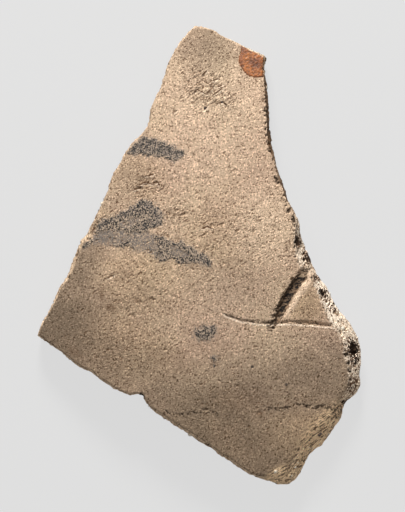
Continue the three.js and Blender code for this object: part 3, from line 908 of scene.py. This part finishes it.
def film_faces(skin, node, mark_name, edge):
    """The skin's upper faces about a CAD film's outline where a mark is over its edge."""
    mesh = skin.data
    low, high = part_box(node)
    count = len(mesh.polygons)
    middles, directions = np.empty(3 * count), np.empty(3 * count)
    mesh.polygons.foreach_get("center", middles)
    mesh.polygons.foreach_get("normal", directions)
    middles, directions = middles.reshape(-1, 3), directions.reshape(-1, 3)
    margin = 1.5 * MM
    near = (middles[:, 0] > low.x - margin) & (middles[:, 0] < high.x + margin)
    near &= (middles[:, 1] > low.y - margin) & (middles[:, 1] < high.y + margin)
    near &= (directions[:, 2] > 0.3) & (depth_under_skin(middles) < 0.9 * MM)
    faces = np.nonzero(near)[0]
    places = middles[faces]
    kept = face_values(mesh, mark_name, faces) > edge(places)
    kept &= inside_outline(places, node) > -1.0 * MM
    return faces[kept]


# Materials


def srgb(red, green, blue):
    """A colour as it looks on screen, 0 to 255, as Blender's linear colour."""
    linear = [
        part / 12.92 if part <= 0.04045 else ((part + 0.055) / 1.055) ** 2.4
        for part in (red / 255, green / 255, blue / 255)
    ]
    return (*linear, 1.0)


def new_material(name):
    material = bpy.data.materials.new(name)
    material.use_nodes = True
    tree = material.node_tree
    shader = tree.nodes["Principled BSDF"]
    where = tree.nodes.new("ShaderNodeTexCoord").outputs["Object"]
    return material, tree, shader, where


def mark(tree, name):
    return add_node(tree, "ShaderNodeAttribute", attribute_name=name).outputs["Fac"]


def mix(tree, share, first, second, how="MIX"):
    inputs = {0: share, 6: first, 7: second}
    made = add_node(tree, "ShaderNodeMix", inputs, data_type="RGBA", blend_type=how)
    return made.outputs[2]


def shade(tree, colour, amount):
    """A colour times a grey value."""
    grey = add_node(tree, "ShaderNodeCombineColor", {0: amount, 1: amount, 2: amount}).outputs[0]
    return mix(tree, 1.0, colour, grey, "MULTIPLY")


def finish_material(tree, shader, colour, roughness, relief, depth):
    """Sets a material's colour, its roughness and its relief of the given depth."""
    tree.links.new(colour, shader.inputs["Base Color"])
    shader.inputs["Roughness"].default_value = roughness
    made = add_node(tree, "ShaderNodeBump", {"Strength": 1.0, "Distance": depth, "Height": relief})
    tree.links.new(made.outputs[0], shader.inputs["Normal"])


BUFF = srgb(199, 174, 146)
PINK_BUFF = srgb(190, 162, 138)
WARM_BUFF = srgb(194, 164, 128)
PALE_BUFF = srgb(219, 192, 165)
GREY_BUFF = srgb(128, 110, 91)
WIPED_BUFF = srgb(178, 152, 128)
DARK_WIPED_BUFF = srgb(160, 134, 110)
CREAM = srgb(255, 237, 215)
WARM_CREAM = srgb(255, 220, 177)
TAN_BREAK = srgb(214, 187, 157)
OLD_BREAK_AND_SHADE = srgb(88, 71, 53)
DARK_SCORE = srgb(66, 44, 28)
BROWN_FLECK = srgb(124, 88, 60)
SOIL = srgb(50, 36, 25)
BROWN_SOIL = srgb(146, 118, 93)
SPECK = srgb(104, 76, 54)
PIGMENT = srgb(50, 44, 43)
GREY_WASH = srgb(126, 119, 113)
THICK_PIGMENT, THIN_GREY = srgb(20, 17, 15), srgb(136, 123, 112)
RED = srgb(153, 91, 43)
DARK_RED = srgb(118, 66, 32)
RUBBED_RED = srgb(206, 160, 122)
BARE_CLAY = srgb(192, 169, 145)
DAMP_SOIL, DRY_SOIL = srgb(26, 19, 14), srgb(132, 108, 86)
LIME, SHADED_LIME = srgb(244, 236, 220), srgb(206, 192, 168)
GRIT, PALE_GRIT = srgb(52, 44, 40), srgb(96, 80, 68)
PLAIN_SAND = (1.03, 1.03, 1.03, 1)
DARK_SAND = (0.27, 0.21, 0.16, 1)
PALE_SAND = (1.8, 1.84, 1.88, 1)
SAND, COARSE_SAND = 0.25 * MM, 0.45 * MM


def skin_colour(tree, where):
    cloud = ease(tree, noise(tree, where, 22 * MM, 1), 0.35, 0.65)
    colour = mix(tree, mark(tree, "warm"), mix(tree, cloud, BUFF, PINK_BUFF), WARM_BUFF)
    colour = mix(tree, mark(tree, "pale"), colour, PALE_BUFF)
    cloudy = ease(tree, noise(tree, where, 14 * MM, 2), 0.25, 0.6, 0.7, 1.0)
    return mix(tree, product(tree, mark(tree, "tone"), cloudy), colour, GREY_BUFF)


def inside_colour(tree, where):
    return mix(tree, ease(tree, noise(tree, where, 22 * MM, 1), 0.35, 0.65), WIPED_BUFF, DARK_WIPED_BUFF)


def break_colour(tree, where):
    """Cream where the break is fresh, warmer where it is scored, tan where it is old, and dark brown along
    the steep upper right edge, as old break colour and painted shade.
    """
    pale = mix(tree, mark(tree, "scored"), CREAM, WARM_CREAM)
    colour = mix(tree, mark(tree, "fresh"), TAN_BREAK, pale)
    tan_patches = ease(tree, noise(tree, where, 3 * MM, 3), 0.4, 0.7, 0.0, 0.2)
    return mix(tree, mark(tree, "dirty"), mix(tree, tan_patches, colour, TAN_BREAK), OLD_BREAK_AND_SHADE)


def sand_grains(tree, where, size):
    """A random value from 0 to 1 for each grain of a sand of the given size."""
    return add_node(tree, "ShaderNodeTexVoronoi", {"Vector": where, "Scale": 1 / size}).outputs["Color"]


def sandy(tree, where, colour):
    """A colour with a few brown and a few pale grains of fine sand in it."""
    grains = sand_grains(tree, where, SAND)
    tint = mix(tree, ease(tree, grains, 0.34, 0.12), PLAIN_SAND, DARK_SAND)
    tint = mix(tree, ease(tree, grains, 0.65, 0.88), tint, PALE_SAND)
    return mix(tree, 1.0, colour, tint, "MULTIPLY")


def round_pits(tree, where, apart, pitted, rag):
    """1 in small pits of many sizes, which are larger and closer together where the skin is pitted."""
    inputs = {"Vector": where, "Scale": 1 / apart}
    spots = add_node(tree, "ShaderNodeTexVoronoi", inputs, voronoi_dimensions="2D").outputs
    reach = ease(tree, total(tree, spots["Color"], product(tree, pitted, 0.22)), 0.62, 1.1, 0.0, 0.46)
    away = total(tree, spots["Distance"], product(tree, rag, 0.6))
    return ease(tree, away, reach, product(tree, reach, 0.3))


def torn_arcs(tree, where, pitted):
    """1 along short torn arcs, where the skin is most pitted."""
    pattern = total(tree, noise(tree, stretched(tree, where, 28, 1.6), 1.5 * MM, 15, 1), -0.5)
    arc = ease(tree, work_out(tree, "ABSOLUTE", pattern), 0.05, 0.015)
    kept = ease(tree, noise(tree, where, 1.3 * MM, 16, 1), 0.48, 0.56)
    return product(tree, arc, kept, ease(tree, pitted, 0.6, 1.1))


def scored_lines(tree, where, rag):
    """1 in the thin incised line, worn to dots on its right, and in the wheel line's row of pits."""
    gaps = noise(tree, where, 0.8 * MM, 17, 2)
    sideways = add_node(tree, "ShaderNodeSeparateXYZ", {0: where}).outputs[0]
    kept = total(tree, gaps, ease(tree, sideways, place(266, 0)[0], place(280, 0)[0], 0.0, -0.13))
    from_line = work_out(tree, "ABSOLUTE", total(tree, mark(tree, "from_thin_line"), rag))
    line = product(tree, ease(tree, from_line, 0.4, 0.12), ease(tree, kept, 0.36, 0.5))
    from_row = total(tree, mark(tree, "from_wheel_line"), product(tree, rag, 1.4))
    deeper = total(tree, gaps, ease(tree, sideways, place(296, 0)[0], place(312, 0)[0], 0.0, 0.03))
    row = product(tree, ease(tree, from_row, 0.7, 0.3), ease(tree, deeper, 0.52, 0.56))
    return highest(tree, line, row)


def painted_lip_highlights(tree, rag):
    """1 on the raised lower lips of the thin line and the torn marks, where a painted highlight stands for
    the light on them.
    """
    from_line = mark(tree, "from_thin_line")
    line_lip = product(tree, ease(tree, from_line, -0.95, -0.7), ease(tree, from_line, -0.3, -0.5))
    from_tear = total(tree, mark(tree, "from_tear"), product(tree, rag, 0.4))
    tear_lip = product(tree, ease(tree, from_tear, -0.75, -0.6), ease(tree, from_tear, -0.18, -0.3), 0.5)
    return highest(tree, line_lip, tear_lip)


def torn_marks(tree, where, rag):
    """1 in the torn marks, which are shallow here and there."""
    away = work_out(tree, "ABSOLUTE", total(tree, mark(tree, "from_tear"), product(tree, rag, 0.5)))
    kept = ease(tree, noise(tree, where, 0.9 * MM, 19, 2), 0.36, 0.5, 0.6, 1.0)
    return product(tree, ease(tree, away, 0.3, 0.12), kept)


def groove_shade_ticks(tree, comb):
    """1 in ragged ticks of painted shade that reach from the groove's steep side into the skin."""
    across = mark(tree, "from_groove")
    near = ease(tree, across, -3.7, -2.3)
    ticks = ease(tree, total(tree, product(tree, near, 0.16), comb), 0.12, 0.2)
    return product(tree, near, ticks, ease(tree, across, 0.4, -0.6))


def skin_hollows(tree, where, pitted, rag):
    """1 in the skin's small pits and torn arcs."""
    along = stretched(tree, where, 38, 1.8)
    pits = [round_pits(tree, along, apart, pitted, rag) for apart in (1.0 * MM, 0.62 * MM)]
    return highest(tree, *pits, torn_arcs(tree, where, pitted))


def flecked(tree, where, colour, broken):
    """A colour with pale chips along the torn edges, and dark flecks and the painted shade of small holes in
    the break.
    """
    torn = mark(tree, "torn")
    chips = total(tree, sand_grains(tree, where, COARSE_SAND), product(tree, torn, 0.3))
    chips = product(tree, ease(tree, chips, 0.82, 0.9), torn, mark(tree, "fresh"))
    colour = mix(tree, chips, colour, CREAM)
    rough = product(tree, mark(tree, "rough"), 0.21)
    flecks = total(tree, noise(tree, stretched(tree, where, 42, 1.5), 0.48 * MM, 10, 1), rough)
    holes = total(tree, noise(tree, where, 0.9 * MM, 18, 2, 0.6), rough)
    for pattern, low, high, spot in (
        (flecks, 0.59, 0.61, BROWN_FLECK),
        (flecks, 0.69, 0.72, DARK_SCORE),
        (holes, 0.68, 0.71, SOIL),
    ):
        colour = mix(tree, product(tree, ease(tree, pattern, low, high), broken, 0.9), colour, spot)
    return colour


def stained(tree, where, colour, rag):
    """A colour under grey wash, worn pigment, red paint and smudges."""
    grain, wash = sand_grains(tree, where, SAND), mark(tree, "wash")
    washed = ease(tree, total(tree, wash, product(tree, grain, 1.4)), 1.0, 2.0, 0.0, 0.95)
    colour = mix(tree, washed, colour, GREY_WASH)
    left_over = highest(tree, mark(tree, "pigment"), product(tree, wash, 0.42))
    worn = ease(tree, total(tree, left_over, product(tree, grain, 0.9)), 1.05, 1.25, 0.0, 0.8)
    colour = mix(tree, worn, colour, PIGMENT)
    colour = mix(tree, product(tree, mark(tree, "red"), 0.8), colour, RED)
    smudge = product(tree, mark(tree, "smudge"), ease(tree, rag, -0.15, 0.1, 0.5, 1.0))
    return mix(tree, smudge, colour, SPECK)


def dirt_and_shade_share(tree, where, lines, comb, rag):
    """1 in the dirt and painted shade of pits, the groove and the scored lines, and in the painted shade of
    the deep holes.
    """
    ragged = product(tree, total(tree, comb, rag), 0.6)
    ragged_dirt_and_shade = ease(tree, total(tree, mark(tree, "dirt"), ragged), 0.3, 0.75, 0.0, 0.92)
    hole = mark(tree, "hole")
    flakes = total(tree, sand_grains(tree, where, COARSE_SAND), -0.5)
    flakes = product(tree, flakes, ease(tree, hole, 0.0, 0.15), 1.4)
    ragged_hole = ease(tree, total(tree, hole, flakes), 0.42, 0.5)
    return highest(tree, ragged_dirt_and_shade, product(tree, lines, 0.85), ragged_hole)


def soil_colour(tree, comb):
    """Dark soil, with brown streaks in the groove's bottom."""
    bottom = product(tree, mark(tree, "grime"), ease(tree, mark(tree, "from_groove"), -1.4, -0.6))
    return mix(tree, product(tree, ease(tree, comb, 0.0, 0.06), bottom), SOIL, BROWN_SOIL)


def fired_clay(name, inside=False):
    """Buff fired clay: smoothed skin, rough break, and dirt, painted shade and painted highlights where the
    wall is marked for them.
    """
    material, tree, shader, where = new_material(name)
    drawn_out = stretched(tree, where, 38, 1.5)
    rag = total(tree, noise(tree, where, 0.5 * MM, 12, 2, 0.6), -0.5)
    comb = total(tree, noise(tree, stretched(tree, where, 10, 3.5), 0.6 * MM, 13, 2, 0.6), -0.5)
    skin, pitted, scored = mark(tree, "skin"), mark(tree, "pitted"), mark(tree, "scored")
    colour = inside_colour(tree, where) if inside else skin_colour(tree, where)
    broken = ease(tree, total(tree, mark(tree, "broken"), product(tree, rag, 0.9)), 0.35, 0.6)
    colour = mix(tree, broken, colour, break_colour(tree, where))
    # A painted highlight of pale buff beside the groove's long slope, which faces the light.
    colour = mix(tree, product(tree, mark(tree, "scraped"), 0.85), colour, PALE_BUFF)
    # A painted highlight of cream on the lower lips of the thin line and the torn marks.
    colour = mix(tree, product(tree, painted_lip_highlights(tree, rag), skin, 0.5), colour, CREAM)

    blot = ease(tree, noise(tree, where, 5 * MM, 4, 1), 0.3, 0.7, 0.95, 1.05)
    colour = flecked(tree, where, sandy(tree, drawn_out, shade(tree, colour, blot)), broken)
    # On the scored break, painted shade of dark brown in the score grooves and a painted highlight of warm
    # cream on their crests.
    streaks = noise(tree, stretched(tree, where, 32, 4.5), 0.55 * MM, 11, 3, 0.65)
    streaks_lit_and_shaded = sandy(tree, where, mix(tree, ease(tree, streaks, 0.43, 0.48), DARK_SCORE, WARM_CREAM))
    colour = mix(tree, ease(tree, scored, 0.15, 0.85, 0.0, 0.9), colour, streaks_lit_and_shaded)
    colour = stained(tree, where, colour, rag)

    # Painted shade in the skin's small pits and torn marks, together with their dirt.
    hollows = product(tree, skin, skin_hollows(tree, where, pitted, rag))
    # A painted highlight on the skin just below each pit, found where the pattern a step further up has a
    # pit.
    above = vector(tree, "ADD", {0: where, 1: (0, 0.3 * MM, 0)})
    painted_pit_highlights = product(tree, skin, skin_hollows(tree, above, pitted, rag), minus(tree, 1.0, hollows))
    colour = mix(tree, product(tree, painted_pit_highlights, 0.75), colour, shade(tree, colour, 1.4))
    tears = product(tree, skin, torn_marks(tree, where, rag))
    hollows = highest(tree, product(tree, hollows, 0.7), tears)
    colour = mix(tree, hollows, colour, SPECK)
    # Painted shade of soil colour in the ticks along the groove's steep side.
    colour = mix(tree, product(tree, groove_shade_ticks(tree, comb), 0.85), colour, SOIL)
    lines = scored_lines(tree, where, rag)
    # Soil colour for dirt and for painted shade in pits, holes, the scored lines and the groove.
    colour = mix(tree, dirt_and_shade_share(tree, where, lines, comb, rag), colour, soil_colour(tree, comb))

    fine = noise(tree, drawn_out, 0.3 * MM, 9, 2, 0.65)
    coarser = ease(tree, pitted, 0.1, 1.0, 0.7, 1.4)
    raised = total(tree, product(tree, fine, coarser), product(tree, streaks, scored, 1.2))
    lowered = total(tree, product(tree, hollows, 0.7), product(tree, lines, 0.8))
    shader.inputs["Specular IOR Level"].default_value = 0.25
    finish_material(tree, shader, colour, 0.92, minus(tree, raised, lowered), 0.38 * MM)
    return material


def worn_pigment():
    """Dark grey-brown pigment, worn off the grain so that the buff clay speckles it."""
    material, tree, shader, where = new_material("worn_dark_pigment")
    grit = noise(tree, stretched(tree, where, 38, 1.4), 0.4 * MM, 3, 2, 0.6)
    grain = sand_grains(tree, where, SAND)
    colour = mix(tree, ease(tree, grain, 0.42, 0.6), THICK_PIGMENT, THIN_GREY)
    cloud = ease(tree, noise(tree, where, 4 * MM, 4, 2), 0.35, 0.65, 0.8, 1.2)
    colour = shade(tree, colour, cloud)
    wear = total(tree, grain, product(tree, mark(tree, "pigment"), -0.5))
    colour = mix(tree, ease(tree, wear, 0.12, 0.4, 0.0, 0.85), colour, BARE_CLAY)
    finish_material(tree, shader, colour, 0.8, grit, 0.35 * MM)
    return material


def worn_red_paint():
    """Thin orange-red paint with a darker heart and ring, slightly glossy."""
    material, tree, shader, where = new_material("worn_red_paint")
    middle = Vector((*place(256, 63), 0))
    flat = vector(tree, "MULTIPLY", {0: where, 1: (1, 1, 0)})
    away = vector(tree, "DISTANCE", {0: flat, 1: middle}, "Value")
    radius = total(tree, away, product(tree, noise(tree, where, 1.6 * MM, 2, 2), 1.6 * MM))
    heart = ease(tree, radius, 3.6 * MM, 1.8 * MM)
    rim = ease(tree, radius, 4.6 * MM, 5.2 * MM, 0.0, 0.75)
    colour = mix(tree, total(tree, heart, rim), RED, DARK_RED)
    grit = noise(tree, stretched(tree, where, 38, 1.4), 0.55 * MM, 3, 2, 0.6)
    colour = shade(tree, colour, ease(tree, grit, 0.35, 0.65, 0.5, 1.45))
    bare = ease(tree, noise(tree, where, 0.6 * MM, 5, 2, 0.6), 0.62, 0.7, 0.0, 0.7)
    finish_material(tree, shader, mix(tree, bare, colour, RUBBED_RED), 0.5, grit, 0.3 * MM)
    return material


def crumbly_soil():
    """Dark soil with paler streaks, thin enough at the groove's top for the clay to show through."""
    material, tree, shader, where = new_material("crumbly_soil")
    grit = noise(tree, stretched(tree, where, 10, 3.5), 0.6 * MM, 1, 3, 0.7)
    colour = mix(tree, ease(tree, grit, 0.5, 0.56), DAMP_SOIL, DRY_SOIL)
    upwards = add_node(tree, "ShaderNodeSeparateXYZ", {0: where}).outputs[1]
    thin = total(tree, ease(tree, upwards, place(0, 282)[1], place(0, 271)[1]), product(tree, grit, 1.2))
    colour = mix(tree, ease(tree, thin, 1.0, 1.2), colour, TAN_BREAK)
    finish_material(tree, shader, colour, 0.95, grit, 0.2 * MM)
    return material


def mineral(name, pale, dark, size):
    material, tree, shader, where = new_material(name)
    colour = mix(tree, ease(tree, noise(tree, where, size, 1, 3, 0.6), 0.35, 0.65), pale, dark)
    finish_material(tree, shader, colour, 0.8, noise(tree, where, size / 2, 2, 2, 0.6), 0.08 * MM)
    return material


# Grains, soil and crumbs


def roughened_tree():
    """Rounds and roughens a small solid."""
    sizes = {"Height": 0.2 * MM, "Length": 0.8 * MM, "Seed": 0.0}
    tree, size, result = geometry_tree("roughened", sizes)
    where = tree.nodes.new("GeometryNodeInputPosition").outputs[0]
    value = noise(tree, where, size["Length"], size["Seed"], 2)
    lift = product(tree, minus(tree, value, 0.55), size["Height"])
    normal = tree.nodes.new("GeometryNodeInputNormal").outputs[0]
    finish_tree(tree, moved(tree, size["Geometry"], normal, lift), result)
    return tree


def grain_piece(node, name, tree, seed):
    """A temper grain in the place of its CAD node, rounder and rougher."""
    obj = copy_of_node(node)
    obj.name = name
    modifier = obj.modifiers.new("rounder", "SUBSURF")
    modifier.levels = modifier.render_levels = 2
    apply_modifiers(obj)
    run_geometry_tree(obj, tree, {"Height": 0.35 * MM, "Length": 0.6 * MM, "Seed": float(seed)})
    shade_smooth(obj.data)
    return obj


def soil_piece(tree):
    obj = copy_of_node("groove_soil")
    obj.name = "groove_soil_fill"
    even_grid(obj, 0.14 * MM)
    run_geometry_tree(obj, tree, {"Height": 0.9 * MM, "Length": 0.7 * MM, "Seed": 3.0})
    shade_smooth(obj.data)
    return obj


def random_vector(tree, low, high, seed):
    inputs = {0: low, 1: high, "Seed": seed}
    return add_node(tree, "FunctionNodeRandomValue", inputs, data_type="FLOAT_VECTOR").outputs[0]


def scatter_tree(name, material, sizes):
    """Scatters small cornered grains over the marked part of a surface and sinks them in it."""
    tree, size, result = geometry_tree(name, sizes)
    density = product(tree, named_value(tree, "scatter"), size["Grains per square metre"])
    points = add_node(
        tree, "GeometryNodeDistributePointsOnFaces",
        {"Mesh": size["Geometry"], "Density": density, "Seed": int(sizes["Seed"])},
    )
    ball = add_node(tree, "GeometryNodeMeshIcoSphere", {"Radius": 0.5, "Subdivisions": 1}).outputs[0]
    where = tree.nodes.new("GeometryNodeInputPosition").outputs[0]
    corner = minus(tree, noise(tree, where, 0.6, 2.0, 1), 0.5)
    grain = moved(tree, ball, where, product(tree, corner, 1.1))
    turn = random_vector(tree, (0, 0, 0), (math.tau, math.tau, math.tau), 5)
    stretch = random_vector(tree, (0.5, 0.45, 0.35), (1, 0.9, 0.7), 6)
    scale = vector(tree, "SCALE", {0: stretch, "Scale": size["Largest grain"]})
    placed = add_node(
        tree, "GeometryNodeInstanceOnPoints",
        {"Points": points.outputs["Points"], "Instance": grain, "Rotation": turn, "Scale": scale},
    )
    finish_tree(tree, placed.outputs[0], result, material)
    return tree


def scattered(name, carrier, share, material, sizes):
    """Grains over a carrier's faces, as dense as the share of each vertex says."""
    obj = new_object(name, carrier.data.copy())
    store_values(obj.data, scatter=share)
    run_geometry_tree(obj, scatter_tree(name + "_tree", material, sizes), sizes)
    shade_smooth(obj.data)
    keep_in_box(obj.data)
    return obj


# Assembly


def settle(piece, slot, material, *nodes):
    """Paints a piece, and says what it rides on and stands for. The slot, what it takes its finish from, is
    not used.
    """
    piece.data.materials.clear()
    piece.data.materials.append(material)
    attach(piece, "root")
    if nodes:
        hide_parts(*nodes)


def build_sherd():
    wall = whole_wall()
    store_colour_marks(wall)
    skin_back = seam(SKIN, 31)
    core_back = seam(WALL - INNER_SKIN, 32)
    skin = layer(wall, "smoothed_outer_skin", skin_back, far(5 * MM))
    core = layer(wall, "rough_clay_core", core_back, skin_back)
    inner = layer(wall, "ridged_inner_skin", far(-20 * MM), core_back)
    remove(wall)

    pigment, paint, soil = worn_pigment(), worn_red_paint(), crumbly_soil()
    lime = mineral("chalky_lime", LIME, SHADED_LIME, 0.6 * MM)
    grit = mineral("dark_grit", GRIT, PALE_GRIT, 0.5 * MM)

    for node, name in PIGMENT_PIECES.items():
        faces = film_faces(skin, node, "pigment", pigment_edge)
        settle(worn_film(name, skin, faces, PIGMENT_FILM), "dark_pigment", pigment, node)
    faces = film_faces(skin, "red_daub", "red", paint_edge)
    settle(worn_film("red_paint_daub", skin, faces, PAINT_FILM), "red_paint", paint, "red_daub")

    roughened = roughened_tree()
    settle(soil_piece(roughened), "burial_soil", soil, "groove_soil")
    for kind, count, material in (("lime", 4, lime), ("grit", 6, grit)):
        for i in range(1, count + 1):
            node = f"{kind}_grain_{i}"
            piece = grain_piece(node, f"{kind}_inclusion_{i}", roughened, 10 * i + len(kind))
            settle(piece, f"{kind}_temper", material, node)

    broken = read_values(core.data, "broken") * (0.35 + 0.65 * read_values(core.data, "fresh"))
    in_groove = read_values(skin.data, "grime")
    for name, carrier, share, material, slot, density, largest, seed in (
        ("pale_fine_temper", core, broken, lime, "lime_temper", 60000.0, 0.9 * MM, 7.0),
        ("dark_fine_temper", core, broken, grit, "grit_temper", 30000.0, 0.8 * MM, 8.0),
        ("soil_crumbs", skin, in_groove, soil, "burial_soil", 120000.0, 0.7 * MM, 9.0),
    ):
        sizes = {"Grains per square metre": density, "Largest grain": largest, "Seed": seed}
        settle(scattered(name, carrier, share, material, sizes), slot, material)

    settle(skin, "outer_skin", fired_clay("smoothed_buff_clay"), "outer_skin")
    settle(core, "clay_core", fired_clay("broken_buff_clay"), "clay_core")
    settle(inner, "inner_skin", fired_clay("wiped_buff_clay", inside=True), "inner_skin")


# Studio

BACKDROP = srgb(225, 225, 225)
FLOOR_SIZE, FLOOR_GAP = 8, 0.05 * MM
LENS, SENSOR = 400, 36


def seen_by_camera(tree):
    """1 for the rays that show the backdrop: straight, in a gloss or through glass."""
    path = tree.nodes.new("ShaderNodeLightPath").outputs
    seen = highest(tree, path["Is Camera Ray"], path["Is Glossy Ray"])
    return highest(tree, seen, path["Is Transmission Ray"])


def floor():
    """A plain pale floor that shows its own colour and a little of the sherd's shadow."""
    bpy.ops.mesh.primitive_plane_add(size=FLOOR_SIZE, location=(0, 0, -FLOOR_GAP))
    plane = bpy.context.object
    plane.name = "floor"
    material, tree, shader = new_material("pale_floor")[:3]
    shader.inputs["Base Color"].default_value = BACKDROP
    shader.inputs["Roughness"].default_value = 1.0
    shader.inputs["Specular IOR Level"].default_value = 0.0
    glow = add_node(tree, "ShaderNodeEmission", {"Color": BACKDROP, "Strength": 1.0}).outputs[0]
    share = product(tree, seen_by_camera(tree), 0.88)
    mixed = add_node(tree, "ShaderNodeMixShader", {0: share, 1: shader.outputs[0], 2: glow}).outputs[0]
    tree.links.new(mixed, tree.nodes["Material Output"].inputs["Surface"])
    plane.data.materials.append(material)


def world():
    """Soft light from all round, behind a pale backdrop."""
    made = bpy.data.worlds.new("studio")
    bpy.context.scene.world = made
    made.use_nodes = True
    tree = made.node_tree
    light = tree.nodes["Background"]
    light.inputs["Color"].default_value = (1, 0.98, 0.96, 1)
    light.inputs["Strength"].default_value = 0.2
    seen = add_node(tree, "ShaderNodeBackground", {"Color": BACKDROP, "Strength": 1.0}).outputs[0]
    mixed = add_node(tree, "ShaderNodeMixShader", {0: seen_by_camera(tree), 1: light.outputs[0], 2: seen})
    tree.links.new(mixed.outputs[0], tree.nodes["World Output"].inputs["Surface"])


def softbox(name, azimuth, elevation, distance, size, power, colour=(1, 1, 1)):
    """A square soft light that looks at the sherd. Azimuth runs from +X towards +Y."""
    a, e = math.radians(azimuth), math.radians(elevation)
    data = bpy.data.lights.new(name, "AREA")
    data.shape, data.size, data.energy, data.color = "SQUARE", size, power, colour
    light = new_object(name, data)
    way = Vector((math.cos(a) * math.cos(e), math.sin(a) * math.cos(e), math.sin(e)))
    light.location = way * distance
    light.rotation_euler = way.to_track_quat("Z", "Y").to_euler()
    light.visible_camera = False


def camera():
    """A long lens straight above the sherd, in the frame of the view."""
    data = bpy.data.cameras.new("camera")
    obj = new_object("camera", data)
    x, y = place(VIEW_COLUMNS / 2, VIEW_ROWS / 2)
    data.lens, data.sensor_width = LENS, SENSOR
    obj.location = (x, y, WALL + VIEW_ROWS * ROW * LENS / SENSOR)
    data.clip_start, data.clip_end = 0.1, 20
    bpy.context.scene.camera = obj


camera()
build_sherd()
floor()
world()
softbox("key", 96, 32, 0.75, 0.2, 7.4, (1, 0.99, 0.97))
softbox("fill", 280, 60, 1.2, 0.8, 1.6)
bpy.context.scene.view_settings.view_transform = "Standard"
